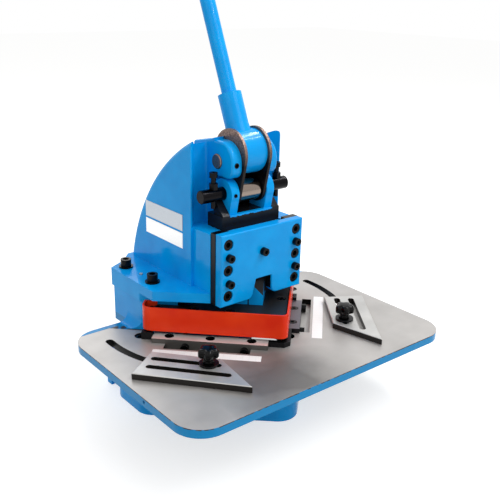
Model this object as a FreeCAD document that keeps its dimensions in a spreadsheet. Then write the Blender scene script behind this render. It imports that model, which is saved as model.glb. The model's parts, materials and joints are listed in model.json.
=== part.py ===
"""Hand-lever corner notcher: table, die, punch ram, lever head and two sliding corner guides.

Frame: +Z up, the operator stands at -Y, origin on the bench at the centre of the four bench bolts.
Distances named *_from_front are measured back from the table's front edge, heights named *_height
are measured up from the table's ground top. The two cutting edges run back from the cutting corner
at 45 degrees: along them a piece is placed by its run (along the edge) and its reach (outward, away
from the ram), so both arms of the die come from the same values.
"""
import FreeCAD, Part
import math
import os
import Sketcher

doc = FreeCAD.newDocument("corner_notcher")
sheet = doc.addObject("Spreadsheet::Sheet", "sizes")

SIZES = {
    # Base and table casting
    "base_height": 125.0,            # bench to the table's ground top
    "front_reach": 305.0,            # bench bolt centre to the table's front edge
    "bed_depth": 40.0,               # table top to the joint between table casting and base
    "base_half_width": 183.0,
    "base_apex_from_front": 86.0,
    "base_shoulder_from_front": 254.0,   # rear end of the front walls
    "base_side_end_from_front": 330.0,   # where the rear walls start to draw in
    "base_rear_half": 92.0,
    "base_rear_from_front": 440.0,
    "base_apex_round": 34.0,
    "base_side_round": 30.0,
    "base_rear_round": 24.0,
    "base_wall": 14.0,
    "bed_core_half": 104.0,
    "bed_core_from_front": 265.0,
    "bed_core_rear_from_front": 405.0,
    "bench_bolt_spacing_x": 240.0,
    "bench_bolt_spacing_y": 140.0,
    "bench_pad_radius": 20.0,
    "bench_pad_height": 30.0,
    "bench_thread_bore": 5.1,
    "bench_thread_depth": 24.0,
    "table_width": 520.0,
    "table_depth": 348.0,
    "table_thickness": 13.4,
    "table_corner": 45.0,
    "gauge_hole_from_front": 118.0,
    "gauge_hole_radius": 2.6,
    "gauge_hole_depth": 20.0,
    "gauge_hole_drop": 6.0,
    "table_screw_side": 164.0,
    "table_screw_from_front": 284.0,
    "table_screw_run": 34.0,
    "table_screw_reach": 4.0,
    "table_screw_length": 50.0,
    "table_screw_sink": 1.5,
    "table_boss_radius": 16.0,
    "table_boss_depth": 40.0,
    # Curved slots for the guides
    "arc_centre_from_front": 285.0,
    "arc_radius": 214.0,
    "arc_width": 13.0,
    "arc_rear_angle": 3.0,
    "arc_front_angle": 53.0,
    # Column
    "column_half_width": 150.0,
    "column_face_reach": 23.3,       # diagonal front face, inward of the cutting edge
    "column_inner_half": 108.0,
    "column_height": 50.0,
    "column_rear_from_front": 436.0,
    "column_side_from_front": 392.0,
    "column_core_from_front": 385.0,
    "column_foot_round": 18.0,
    # Upper frame casting
    "flange_overhang": 2.5,
    "flange_bottom_height": 65.0,
    "flange_top_height": 81.0,
    "flange_front_from_front": 262.0,
    "flange_nose_from_front": 203.5,
    "rear_nose_half": 92.0,
    "rear_shoulder_half": 116.0,
    "rear_shoulder_from_front": 410.0,
    "web_half_width": 90.0,
    "web_front_from_front": 248.0,
    "web_top_height": 316.0,
    "web_round_from_front": 103.0,   # centre of the curved back
    "web_round_height": 7.6,
    "web_round_radius": 340.5,
    "web_wall": 16.0,
    "web_corner_round": 10.0,
    "web_floor_height": 166.0,       # underside of the head block inside the hollow web
    "web_upper_front_from_front": 316.0,
    "recess_rear_from_front": 268.0,     # open pocket beside each head plate
    "recess_corner_round": 5.0,
    "recess_land": 2.0,              # flat left on the side wall's front edge
    "head_slot_half": 27.2,
    "head_slot_from_front": 275.0,
    "head_slot_floor_height": 200.0,
    "housing_half_width": 85.0,
    "housing_top_height": 178.0,
    "lug_half_width": 45.0,
    "lug_nose_from_front": 202.0,
    "lug_top_height": 312.0,
    "lug_top_round": 32.0,
    "lug_bottom_height": 256.5,
    "lug_bottom_round": 16.0,
    "lug_crown_from_front": 262.0,
    "lug_rear_from_front": 302.0,
    "lug_rear_height": 303.0,
    "lug_edge_round": 4.0,
    "lug_screw_side": 37.0,
    "lug_screw_height": 279.0,
    "set_screw_proud": 1.0,
    "frame_bolt_side": 131.0,
    "frame_bolt_rear_from_front": 382.0,
    "frame_bolt_front_from_front": 298.0,
    "frame_bolt_length": 70.0,
    "frame_washer_radius": 12.0,
    "frame_washer_thickness": 2.5,
    "taper_pin_side": 128.0,
    "taper_pin_from_front": 338.0,
    "taper_pin_radius": 3.0,
    "taper_pin_length": 50.0,
    "taper_pin_proud": 1.5,
    # Plates on the web's side
    "plate_proud": 0.8,
    "name_plate_rear_from_front": 379.0,
    "name_plate_front_from_front": 270.0,
    "name_plate_low_height": 167.0,
    "name_plate_high_height": 194.0,
    "data_plate_low_height": 138.0,
    "data_plate_high_height": 163.5,
    # Front plate and its spacers
    "front_plate_half_width": 83.0,
    "front_plate_from_front": 178.0,
    "front_plate_thickness": 14.0,
    "front_plate_top_height": 182.0,
    "front_plate_edge": 1.5,
    "notch_half_width": 20.4,
    "notch_top_height": 97.0,
    "notch_corner_round": 11.0,
    "notch_top_left": 12.4,
    "notch_top_right": 19.0,
    "spacer_outer_half": 84.0,
    "clamp_screw_side": 69.0,
    "clamp_screw_top_height": 165.5,
    "clamp_screw_pitch": 42.0,
    "clamp_screw_length": 45.0,
    "clamp_screw_sink": 11.0,
    "push_screw_side": 68.0,
    "push_screw_top_height": 144.8,
    "push_screw_pitch": 42.6,
    "push_screw_centre_height": 142.0,
    "push_screw_length": 13.5,
    # Ram
    "slide_clearance": 0.25,
    "ram_half_width": 57.5,
    "ram_axis_from_front": 229.0,
    "ram_top_height": 176.0,
    "ram_block_front_from_front": 209.0,
    "ram_block_top_height": 199.5,
    "ram_foot_height": 49.0,
    "ram_foot_apex_from_front": 175.5,
    "ram_foot_rear_from_front": 260.0,
    "ram_nose_half": 13.5,
    "ram_nose_shoulder_height": 66.5,
    "ram_nose_top_height": 90.0,
    "ram_stroke": 12.0,
    "ear_inner_half": 27.5,
    "ear_outer_half": 42.7,
    "ear_radius": 23.5,
    "ear_foot_from_front": 212.0,
    "strap_inner_half": 43.0,
    "strap_outer_half": 56.0,
    "strap_rise": 21.5,              # strap's 45 degree front edge above the block
    "strap_back": 8.5,
    # Shafts, links and roller
    "shaft_clearance": 0.06,
    "cross_shaft_height": 231.0,
    "cross_shaft_radius": 10.75,
    "cross_shaft_half_length": 85.5,
    "shaft_end_chamfer": 1.2,
    "roller_half_length": 20.5,
    "roller_radius": 18.5,
    "main_shaft_from_front": 240.0,
    "main_shaft_height": 280.0,
    "main_shaft_radius": 11.75,
    "main_shaft_proud": 2.6,
    "link_inner_half": 21.8,
    "link_outer_half": 26.7,
    "link_half_width": 21.5,
    "link_head_radius": 38.5,
    "link_head_rise": 5.0,           # head's centre above its bore, at rest
    "link_front_side_angle": 12.9,   # where the shank's sides meet the rounds, below level
    "link_rear_side_angle": 20.0,
    "eccentricity": 8.485,
    "eccentric_angle": 21.7,         # ahead of the handle's square, at rest
    "eccentric_radius": 23.0,
    "eccentric_bore_shift": 7.24,
    "eccentric_play": 2.2,           # open pivot of the linkage
    "stop_screw_side_left": 60.5,
    "stop_screw_side_right": 67.0,
    "stop_head_rise": 28.0,          # under the head, above the cross shaft's centre
    "stop_nut_rise": 9.0,
    "stop_nut_thickness": 10.0,
    "stop_screw_length": 49.0,
    "stop_flat_margin": 2.0,
    # Lever
    "lever_tilt": 23.3,              # handle leans back at rest
    "hub_half_width": 21.3,
    "hub_radius": 34.5,
    "hub_shift": 10.5,               # disc and handle lie ahead of the shaft
    "hub_rise": 8.0,
    "flare_low": 30.0,
    "flare_high": 50.0,
    "flare_radius": 21.2,
    "socket_radius": 18.9,
    "socket_top": 100.0,
    "socket_floor": 47.0,
    "handle_radius": 12.0,
    "handle_length": 557.0,
    "handle_cap": 4.0,               # closed end of the grip
    "handle_clearance": 0.1,
    "grip_radius": 16.0,
    "grip_length": 115.0,
    "grip_round": 6.0,
    "socket_screw_up": 83.5,
    "socket_screw_proud": 2.0,
    # Die
    "die_corner_from_front": 119.0,
    "blade_width": 21.2,
    "blade_height": 8.0,
    "die_seat_depth": 12.0,
    "blade_end_left": 210.0,
    "blade_end_right": 163.0,
    "die_block_end": 210.0,
    "blade_start_left": 25.7,
    "blade_start_right": 46.7,
    "corner_reach": 8.5,
    "corner_flat": 6.0,
    "die_block_width": 14.0,
    "die_block_height": 1.0,
    "slug_hole_end": 170.0,
    "fit_gap": 0.2,
    "blade_screw_reach": 8.5,
    "blade_screw_pitch_left": 66.0,
    "blade_screw_pitch_right": 56.0,
    "blade_screw_first_left": 52.0,
    "blade_screw_first_right": 72.0,
    "blade_screw_length": 20.0,
    "pocket_start": 52.0,
    "pocket_end": 188.0,
    "pocket_reach": 37.5,
    "pocket_depth": 10.5,
    "stop_block_gap": 1.0,           # hard stops behind the lower blades
    "stop_block_length": 18.0,
    "stop_block_width": 11.0,
    "stop_block_height": 12.5,
    "stop_block_screw_length": 20.0,
    "side_screw_first": 62.0,
    "side_screw_second": 156.0,
    "side_screw_drop": 3.5,
    "side_screw_length": 32.0,
    "ruler_near_reach": 41.7,
    "ruler_far_reach": 59.0,
    "ruler_start": 33.0,
    "ruler_end": 203.0,
    "ruler_thickness": 1.0,
    # Guard
    "guard_reach_left": 7.0,
    "guard_reach_right": 4.2,
    "guard_thickness": 3.0,
    "guard_low_height": 14.0,
    "guard_high_height": 54.0,
    "guard_end": 230.0,
    "guard_tab": 18.0,
    "guard_nose_round": 12.0,
    "guard_bend_round": 15.0,
    "guard_screw_low_height": 24.0,
    "guard_screw_pitch": 17.0,
    "guard_screw_length": 7.0,
    # Punch
    "cutting_gap": 0.5,
    "punch_plate_height": 35.0,
    "punch_plate_width": 19.0,
    "punch_plate_end": 209.0,
    "punch_plate_root": 163.0,
    "upper_blade_height": 14.0,
    "upper_blade_width": 17.0,
    "punch_screw_reach": 11.3,
    "punch_screw_first": 14.0,
    "punch_screw_pitch": 58.0,
    "punch_screw_length": 20.0,
    "holder_screw_side": 26.0,
    "holder_screw_from_front": 232.0,
    "holder_screw_length": 24.0,
    # Guides
    "guide_thickness": 10.0,
    "guide_width": 70.0,
    "guide_long_edge": 176.0,
    "guide_near_bevel": 60.0,
    "guide_far_bevel": 8.0,
    "guide_slot_width": 10.6,
    "guide_slot_inner": 21.0,
    "guide_slot_outer": 46.0,
    "guide_slot_start": 40.0,
    "guide_slot_start_inner": 60.0,
    "guide_slot_end": 157.0,
    "guide_edge": 1.0,
    "stud_along_guide": 74.0,
    "stud_angle_left": 47.9,         # forward of the arc centre's left
    "stud_angle_right": 52.3,
    "guide_turn_left": 4.4,          # off the 45 degree cutting edge
    "guide_turn_right": 8.0,
    "stud_radius": 5.0,
    "stud_top": 19.0,
    "stud_below_nut": 4.0,
    "clamp_nut_thickness": 9.0,
    "clamp_nut_width": 26.0,
    "washer_radius": 15.0,
    "washer_thickness": 3.0,
    "knob_neck_radius": 9.0,
    "knob_neck_height": 9.0,
    "knob_radius": 16.5,
    "knob_height": 15.0,
    "knob_lobe_radius": 5.5,
    "knob_core_radius": 13.2,
    "knob_gap": 0.3,
    # Screws and threads
    "thread_clearance": 0.1,
    "countersink_clearance": 1.1,
}

# Socket head cap screws: thread radius, head radius, head height, key size
CAP_SCREWS = {
    "five": (2.5, 4.25, 5.0, 4.0),
    "six": (3.0, 5.0, 6.0, 5.0),
    "eight": (4.0, 6.5, 8.0, 6.0),
    "ten": (5.0, 8.0, 10.0, 8.0),
    "twelve": (6.0, 9.0, 12.0, 10.0),
}
SCREW_WORDS = ("thread", "head", "depth", "key")
for screw_name, measures in CAP_SCREWS.items():
    for word, measure in zip(SCREW_WORDS, measures):
        SIZES["screw_" + screw_name + "_" + word] = measure

for row, (alias, number) in enumerate(SIZES.items(), start=1):
    sheet.set("A%d" % row, alias)
    sheet.set("B%d" % row, str(number))
    sheet.setAlias("B%d" % row, alias)
doc.recompute()


class Size:
    """A value together with the sheet expression that drives it."""

    def __init__(self, value, text):
        self.value = value
        self.text = text

    def __add__(self, other):
        other = as_size(other)
        return Size(self.value + other.value, "(%s + %s)" % (self.text, other.text))

    def __sub__(self, other):
        other = as_size(other)
        return Size(self.value - other.value, "(%s - %s)" % (self.text, other.text))

    def __mul__(self, other):
        other = as_size(other)
        return Size(self.value * other.value, "(%s * %s)" % (self.text, other.text))

    def __truediv__(self, other):
        other = as_size(other)
        return Size(self.value / other.value, "(%s / %s)" % (self.text, other.text))

    def __neg__(self):
        return Size(-self.value, "(0 - %s)" % self.text)

    __radd__ = __add__
    __rmul__ = __mul__

    def __rsub__(self, other):
        return as_size(other) - self


def as_size(thing):
    return thing if isinstance(thing, Size) else Size(thing, "(0 + %r)" % thing if thing >= 0
                                                       else "(0 - %r)" % -thing)


def size(alias):
    return Size(sheet.get(alias), "sizes." + alias)


def sine(angle):
    return Size(math.sin(math.radians(angle.value)), "sin(%s * 1 deg)" % angle.text)


def cosine(angle):
    return Size(math.cos(math.radians(angle.value)), "cos(%s * 1 deg)" % angle.text)


X_AXIS = FreeCAD.Vector(1, 0, 0)
Y_AXIS = FreeCAD.Vector(0, 1, 0)
Z_AXIS = FreeCAD.Vector(0, 0, 1)
ALONG = {
    "+Z": FreeCAD.Rotation(),
    "-Z": FreeCAD.Rotation(X_AXIS, 180),
    "+X": FreeCAD.Rotation(Y_AXIS, 90),
    "-X": FreeCAD.Rotation(Y_AXIS, -90),
    "+Y": FreeCAD.Rotation(X_AXIS, -90),
    "-Y": FreeCAD.Rotation(X_AXIS, 90),
}
HALF_ROOT = math.sqrt(0.5)
HALF_TURN = 180.0
EDGE_ANGLE = 45.0                    # cutting edges, off the front
ROOT_TWO = math.sqrt(2.0)
FULL_TURN = 360.0
OVERCUT = 5.0                        # how far a cutting tool runs past the face it opens
MERGE = 1.0                          # how far two joined shapes reach into each other
NEAR = 0.01                          # closer than this counts as touching
SOCKET_DEPTH_SHARE = 0.55            # hexagon socket in a cap screw's head
GRUB_KEY_SHARE = 0.8                 # a set screw takes a smaller key than a cap screw
GRUB_SOCKET_SHARE = 0.45
KNOB_LOBES = 5
KNOB_FIRST_LOBE = 18.0               # degrees
SIDES = {"left": -1, "right": 1}
BLADE_SCREWS = {"left": 3, "right": 2}

nodes = {}


# ---------------------------------------------------------------- helpers

def bind(thing, **lengths):
    for name, length in lengths.items():
        thing.setExpression(name, as_size(length).text)
    return thing


def place(thing, x, y, z, rotation=FreeCAD.Rotation()):
    thing.Placement = FreeCAD.Placement(FreeCAD.Vector(0, 0, 0), rotation)
    for letter, distance in zip("xyz", (x, y, z)):
        thing.setExpression("Placement.Base." + letter, as_size(distance).text)
    return thing


def box(x0, x1, y0, y1, z0, z1):
    block = doc.addObject("Part::Box", "block")
    bind(block, Length=x1 - x0, Width=y1 - y0, Height=z1 - z0)
    return place(block, x0, y0, z0)


def cylinder(x, y, z, radius, length, along="+Z"):
    rod = doc.addObject("Part::Cylinder", "rod")
    bind(rod, Radius=radius, Height=length)
    return place(rod, x, y, z, ALONG[along])


def hexagon(x, y, z, across, length, along="+Z"):
    prism = doc.addObject("Part::Prism", "hexagon")
    prism.Polygon = 6
    bind(prism, Circumradius=across / math.sqrt(3.0), Height=length)
    return place(prism, x, y, z, ALONG[along])


def fuse(*pieces):
    if len(pieces) == 1:
        return pieces[0]
    union = doc.addObject("Part::MultiFuse", "union")
    union.Shapes = list(pieces)
    return union


def cut(base, *tools):
    result = doc.addObject("Part::Cut", "cut")
    result.Base = base
    result.Tool = fuse(*tools)
    return result


def common(first, second):
    result = doc.addObject("Part::Common", "common")
    result.Base = first
    result.Tool = second
    return result


def mirrored(thing):
    twin = doc.addObject("Part::Mirroring", "twin")
    twin.Source = thing
    twin.Normal = X_AXIS
    return twin


def both_sides(thing):
    return thing, mirrored(thing)


def group(*solids):
    bundle = doc.addObject("Part::Compound", "bundle")
    bundle.Links = list(solids)
    return bundle


def node(name, thing):
    thing.Label = name
    nodes[name] = thing
    return thing


def origin_plane(body, role):
    return next(item for item in body.Origin.OriginFeatures if item.Role == role)


def pad(plane, corners, start, end, rounds=()):
    """Straight-sided outline on the XY or YZ plane, drawn out from start to end, with rounded corners.

    rounds pairs a corner's number with its radius.
    """
    body = doc.addObject("PartDesign::Body", "body")
    sketch = body.newObject("Sketcher::SketchObject", "outline")
    sketch.AttachmentSupport = [(origin_plane(body, plane + "_Plane"), "")]
    sketch.MapMode = "FlatFace"
    sketch.setExpression("AttachmentOffset.Base.z", as_size(start).text)
    corners = [(as_size(u), as_size(v)) for u, v in corners]
    points = [FreeCAD.Vector(u.value, v.value, 0) for u, v in corners]
    count = len(points)
    for index in range(count):
        sketch.addGeometry(Part.LineSegment(points[index], points[(index + 1) % count]), False)
    for index in range(count):
        following = (index + 1) % count
        sketch.addConstraint(Sketcher.Constraint("Coincident", index, 2, following, 1))
    for index, (u, v) in enumerate(corners):
        for kind, distance in (("DistanceX", u), ("DistanceY", v)):
            number = sketch.addConstraint(Sketcher.Constraint(kind, -1, 1, index, 1, distance.value))
            sketch.setExpression("Constraints[%d]" % number, distance.text)
    tip = body.newObject("PartDesign::Pad", "pad")
    tip.Profile = sketch
    bind(tip, Length=end - start)
    body.Tip = tip
    axis = Z_AXIS if plane == "XY" else X_AXIS
    radii = {}
    for corner, radius in rounds:
        radii.setdefault(radius.text, (radius, []))[1].append(points[corner])
    for radius, spots in radii.values():
        doc.recompute()
        picked = [name for name, edge in named_edges(tip.Shape)
                  if any(is_corner_edge(edge, axis, spot) for spot in spots)]
        rounded = body.newObject("PartDesign::Fillet", "rounded")
        rounded.Base = (tip, picked)
        bind(rounded, Radius=radius)
        tip = rounded
    return body


def named_edges(shape):
    return [("Edge%d" % number, edge) for number, edge in enumerate(shape.Edges, start=1)]


def is_corner_edge(edge, axis, spot):
    if edge.Curve.TypeId != "Part::GeomLine" or abs(edge.Curve.Direction.dot(axis)) < 0.999:
        return False
    middle = edge.CenterOfMass
    flat = (middle.x, middle.y) if axis == Z_AXIS else (middle.y, middle.z)
    return math.dist(flat, (spot.x, spot.y)) < NEAR


def round_edges(base, radius, wanted):
    """Part fillet on the edges for which wanted(edge) is true."""
    doc.recompute()
    result = doc.addObject("Part::Fillet", "rounding")
    result.Base = base
    result.Edges = [(number, radius.value, radius.value)
                    for number, edge in enumerate(base.Shape.Edges, start=1) if wanted(edge)]
    return result


def chamfer_ends(base, length, wanted):
    doc.recompute()
    result = doc.addObject("Part::Chamfer", "bevel")
    result.Base = base
    result.Edges = [(number, length.value, length.value)
                    for number, edge in enumerate(base.Shape.Edges, start=1) if wanted(edge)]
    return result


def is_circle(edge):
    return edge.Curve.TypeId == "Part::GeomCircle"


def screw_measures(name):
    return [size("screw_" + name + "_" + word) for word in SCREW_WORDS]


def cap_screw(name, x, y, z, length, along):
    """Socket head cap screw: the head's underside is at the point, the shank points along."""
    thread, head, depth, key = screw_measures(name)
    shank = cylinder(0, 0, 0, thread, length)
    cap = cylinder(0, 0, -depth, head, depth)
    socket = hexagon(0, 0, -depth - OVERCUT, key, depth * SOCKET_DEPTH_SHARE + OVERCUT)
    return place(cut(fuse(shank, cap), socket), x, y, z, ALONG[along])


def grub_screw(name, x, y, z, length, along):
    """Headless set screw: its socket end is at the point and it points along."""
    thread, head, depth, key = screw_measures(name)
    shank = cylinder(0, 0, 0, thread, length)
    socket = hexagon(0, 0, -OVERCUT, key * GRUB_KEY_SHARE,
                     length * GRUB_SOCKET_SHARE + OVERCUT)
    return place(cut(shank, socket), x, y, z, ALONG[along])


def screw_hole(name, x, y, z, length, along, sink=0.0):
    """Clearance for a cap screw: its shank, and its head from the point back by sink."""
    thread, head, depth, key = screw_measures(name)
    hole = cylinder(0, 0, 0, thread + size("thread_clearance"), length)
    if not isinstance(sink, Size):
        return place(hole, x, y, z, ALONG[along])
    well = cylinder(0, 0, -sink, head + size("countersink_clearance"), sink)
    return place(fuse(hole, well), x, y, z, ALONG[along])


# ---------------------------------------------------------------- datums

front = -size("front_reach")
top = size("base_height")
corner_y = front + size("die_corner_from_front")
ram_y = front + size("ram_axis_from_front")
cross_z = top + size("cross_shaft_height")
main_y = front + size("main_shaft_from_front")
main_z = top + size("main_shaft_height")
bed_z = top - size("bed_depth")
flange_low = top + size("flange_bottom_height")
flange_high = top + size("flange_top_height")
web_y = front + size("web_front_from_front")
play = size("slide_clearance")
seat_z = top - size("die_seat_depth")


def arm_x(side, run, reach):
    return (as_size(run) + reach) * (HALF_ROOT * SIDES[side])


def arm_y(run, reach):
    return corner_y + (as_size(run) - reach) * HALF_ROOT


def arm_point(side, run, reach):
    return arm_x(side, run, reach), arm_y(run, reach)


def arm_turn(side):
    return FreeCAD.Rotation(Z_AXIS, 45 if side == "right" else 135)


def arm_box(side, run0, run1, reach0, reach1, z0, z1):
    """Block beside one cutting edge."""
    block = doc.addObject("Part::Box", "arm_block")
    bind(block, Length=as_size(run1) - run0, Width=as_size(reach1) - reach0, Height=z1 - z0)
    nearest = reach1 if side == "right" else reach0
    return place(block, arm_x(side, run0, nearest), arm_y(run0, nearest), z0, arm_turn(side))


def mirror_outline(first, right, last=None):
    """Symmetrical outline: its front middle, its right side and, if it has one, its rear middle."""
    left = [(-as_size(x), y) for x, y in reversed(right)]
    return [first] + right + ([last] if last else []) + left


def vee_outline(outer, inner, end):
    """Two-armed strip between two reaches, up to a run, with a mitred front corner."""
    right = [arm_point("right", end, outer), arm_point("right", end, inner)]
    return mirror_outline(vee_apex(outer), right, vee_apex(inner))


def vee_apex(reach):
    return as_size(0), corner_y - as_size(reach) * ROOT_TWO


def side_screw_turn(side):
    """Turns +Z to point inward, square to the cutting edge."""
    inward = FreeCAD.Vector(-SIDES[side], 1, 0)
    return FreeCAD.Rotation(Z_AXIS, inward)


# ---------------------------------------------------------------- base and table casting

def home_plate(inset):
    """Plan of the base: pointed front, short sides, walls drawn in to a narrow back; inset shrinks it."""
    wide = size("base_half_width") - inset
    apex = front + size("base_apex_from_front") + as_size(inset) * ROOT_TWO
    right = [(wide, front + size("base_shoulder_from_front")),
             (wide, front + size("base_side_end_from_front")),
             (size("base_rear_half") - inset / 2, front + size("base_rear_from_front") - inset)]
    return mirror_outline((as_size(0), apex), right)


def home_plate_pad(inset, z0, z1):
    apex = size("base_apex_round") - inset
    side = size("base_side_round") - inset
    rear = size("base_rear_round") - inset
    rounds = [(0, apex), (1, side), (2, side), (3, rear), (4, rear), (5, side), (6, side)]
    return pad("XY", home_plate(inset), z0, z1, rounds)


def table_screw_places():
    for side in SIDES:
        rear_x = size("table_screw_side") * SIDES[side]
        rear_y = front + size("table_screw_from_front")
        yield rear_x, rear_y, top - size("screw_twelve_depth") - size("table_screw_sink")
        x, y = arm_point(side, size("table_screw_run"), size("table_screw_reach"))
        yield x, y, seat_z - size("screw_twelve_depth") - size("table_screw_sink")


def make_base():
    wall = size("base_wall")
    outer = home_plate_pad(as_size(0), as_size(0), bed_z)
    inner = home_plate_pad(wall, as_size(-OVERCUT), bed_z + OVERCUT)
    ring = cut(outer, inner)
    across = size("bench_bolt_spacing_x") / 2
    deep = size("bench_bolt_spacing_y") / 2
    corners = [(across * i, deep * j) for i in (-1, 1) for j in (-1, 1)]
    pads = [cylinder(x, y, 0, size("bench_pad_radius"), size("bench_pad_height")) for x, y in corners]
    bosses = [cylinder(x, y, bed_z - size("table_boss_depth"), size("table_boss_radius"),
                       size("table_boss_depth")) for x, y, z in table_screw_places()]
    threads = [cylinder(x, y, -OVERCUT, size("bench_thread_bore"), size("bench_thread_depth") + OVERCUT)
               for x, y in corners]
    bores = [screw_hole("twelve", x, y, z, size("table_screw_length") + OVERCUT, "-Z")
             for x, y, z in table_screw_places()]
    rib_half = size("base_half_width") - wall / 2
    rib = box(-rib_half, rib_half, deep - wall / 2, deep + wall / 2, as_size(0), bed_z)
    node("base", cut(fuse(ring, rib, *pads, *bosses), *threads, *bores))


def make_table_screws():
    node("table_screws", group(*[cap_screw("twelve", x, y, z, size("table_screw_length"), "-Z")
                                 for x, y, z in table_screw_places()]))


def column_plan(grow):
    """Column seen from above: two arms with 45 degree front faces, joined at the back."""
    half = size("column_half_width") + grow
    inner = size("column_inner_half")
    reach = size("column_face_reach")
    face_y = corner_y + reach * ROOT_TWO
    core = front + size("column_core_from_front")
    side_y = front + size("column_side_from_front") + grow
    right = [(inner, face_y + inner), (half, face_y + half), (half, side_y)] + rear_corner(grow)
    left = [(-x, y) for x, y in reversed(right)]
    return right + left + [(-inner, core), (inner, core)]


def rear_corner(grow):
    shoulder = size("rear_shoulder_half") + grow
    nose = size("rear_nose_half") + grow
    return [(shoulder, front + size("rear_shoulder_from_front") + grow),
            (nose, front + size("column_rear_from_front") + grow)]


def arc_slot(side, z0, z1):
    """Slot through the table that follows a circle round the arc centre."""
    half = size("arc_width") / 2
    radius = size("arc_radius")
    centre = front + size("arc_centre_from_front")
    sweep = size("arc_rear_angle") + size("arc_front_angle")
    ring = []
    for reach in (radius + half, radius - half):
        disc = doc.addObject("Part::Cylinder", "sector")
        bind(disc, Radius=reach, Height=z1 - z0, Angle=sweep)
        place(disc, 0, centre, z0)
        start = -size("arc_front_angle") if side == "right" else HALF_TURN - size("arc_rear_angle")
        disc.Placement = FreeCAD.Placement(disc.Placement.Base, FreeCAD.Rotation(Z_AXIS, start.value))
        disc.setExpression("Placement.Rotation.Angle", start.text + " * 1 deg")
        ring.append(disc)
    ends = []
    for angle in (size("arc_rear_angle"), -size("arc_front_angle")):
        x = radius * cosine(angle) * SIDES[side]
        ends.append(cylinder(x, centre + radius * sine(angle), z0, half, z1 - z0))
    return [cut(*ring)] + ends


def make_table():
    low = top - size("table_thickness")
    half = size("table_width") / 2
    rear = front + size("table_depth")
    corner = size("table_corner")
    plate = pad("XY", [(-half, front), (half, front), (half, rear), (-half, rear)], low, top,
                [(number, corner) for number in range(4)])
    bed = home_plate_pad(as_size(0), bed_z, low)
    column = pad("XY", column_plan(as_size(0)), low, top + size("column_height"))
    ears = [cylinder(x, y, bed_z, size("table_boss_radius"), low - bed_z)
            for x, y, z in table_screw_places()]
    casting = fuse(plate, bed, column, *ears)
    foot = round_edges(casting, size("column_foot_round"), is_foot_edge)
    tools = []
    for side in SIDES:
        tools += arc_slot(side, low - OVERCUT, top + OVERCUT)
        start = size("blade_start_" + side)
        gap = size("fit_gap")
        width = size("blade_width")
        tools.append(arm_box(side, start - gap, size("blade_end_" + side) + gap, as_size(0),
                             width + gap, seat_z, top + OVERCUT))
        tools.append(arm_box(side, size("pocket_start"), size("pocket_end"), width,
                             size("pocket_reach"), top - size("pocket_depth"), top + OVERCUT))
        tools.append(arm_box(side, size("ruler_start") - gap, size("ruler_end") + gap,
                             size("ruler_near_reach") - gap, size("ruler_far_reach") + gap,
                             top - size("ruler_thickness"), top + OVERCUT))
    gap = size("fit_gap")
    corner_outline = corner_block_outline(gap)
    tools.append(pad("XY", corner_outline, seat_z, top + OVERCUT))
    block_end = size("die_block_end") + gap
    tools.append(pad("XY", vee_outline(gap, -size("die_block_width") - gap, block_end),
                     seat_z, top + OVERCUT))
    tools.append(slug_hole(bed_z - OVERCUT, top + OVERCUT))
    core_half = size("bed_core_half")
    tools.append(box(-core_half, core_half, front + size("bed_core_from_front"),
                     front + size("bed_core_rear_from_front"), bed_z - OVERCUT, low - gap))
    for x, y, z in table_screw_places():
        tools.append(screw_hole("twelve", x, y, z, top, "-Z", size("base_height")))
    for name, x, y, z, length in blade_screw_places():
        tools.append(screw_hole("eight", x, y, z, length + gap, "-Z"))
    for side in SIDES:
        tools.append(stop_screw_hole(side))
    for x, y, z, length in frame_fastener_places():
        tools.append(z_hole(x, y, z, length))
    for x, z, side in guard_screw_places():
        tools.append(guard_screw_hole(side, z))
    tools.append(cylinder(-half - OVERCUT, front + size("gauge_hole_from_front"),
                          top - size("gauge_hole_drop"),
                          size("gauge_hole_radius"), size("gauge_hole_depth") + OVERCUT, "+X"))
    node("table_casting", cut(foot, *tools))


def is_foot_edge(edge):
    """Edges where the column's two side faces meet the table's top."""
    middle = edge.CenterOfMass
    if abs(middle.z - top.value) > NEAR or edge.Curve.TypeId != "Part::GeomLine":
        return False
    direction = edge.Curve.Direction
    return abs(abs(middle.x) - size("column_half_width").value) < NEAR and abs(direction.y) > 0.99


def slug_hole(z0, z1):
    """Three-cornered hole through which the cut corner of the sheet falls."""
    width = size("die_block_width")
    right = arm_point("right", size("slug_hole_end"), -width)
    left = arm_point("left", size("slug_hole_end"), -width)
    apex = (as_size(0), corner_y + width * ROOT_TWO)
    return pad("XY", [apex, right, left], z0, z1)


# ---------------------------------------------------------------- die, blades, rulers and guard

def corner_block_outline(gap):
    reach = size("corner_reach") + gap
    flat = size("corner_flat")
    flat_x = reach * ROOT_TWO - flat
    points = [(flat_x, corner_y - flat)]
    points.append(arm_point("right", size("blade_start_right") - size("fit_gap"), reach))
    points.append(arm_point("right", size("blade_start_right") - size("fit_gap"), -gap))
    points.append((as_size(0), corner_y + as_size(gap) * ROOT_TWO))
    points.append(arm_point("left", size("blade_start_left") - size("fit_gap"), -gap))
    points.append(arm_point("left", size("blade_start_left") - size("fit_gap"), reach))
    points.append((-flat_x, corner_y - flat))
    return points


def blade_screw_places():
    """Upright screws that hold the lower blades down."""
    z = top + size("blade_height") - size("screw_eight_depth")
    for side in SIDES:
        for number in range(BLADE_SCREWS[side]):
            run = size("blade_screw_first_" + side) + size("blade_screw_pitch_" + side) * number
            x, y = arm_point(side, run, size("blade_screw_reach"))
            yield side, x, y, z, size("blade_screw_length")


def side_screw_places():
    """Level screws that draw the lower blades against the die block."""
    for side in SIDES:
        for run in (size("side_screw_first"), size("side_screw_second")):
            x, y = arm_point(side, run, size("blade_width"))
            yield side, x, y, top - size("side_screw_drop")


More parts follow.
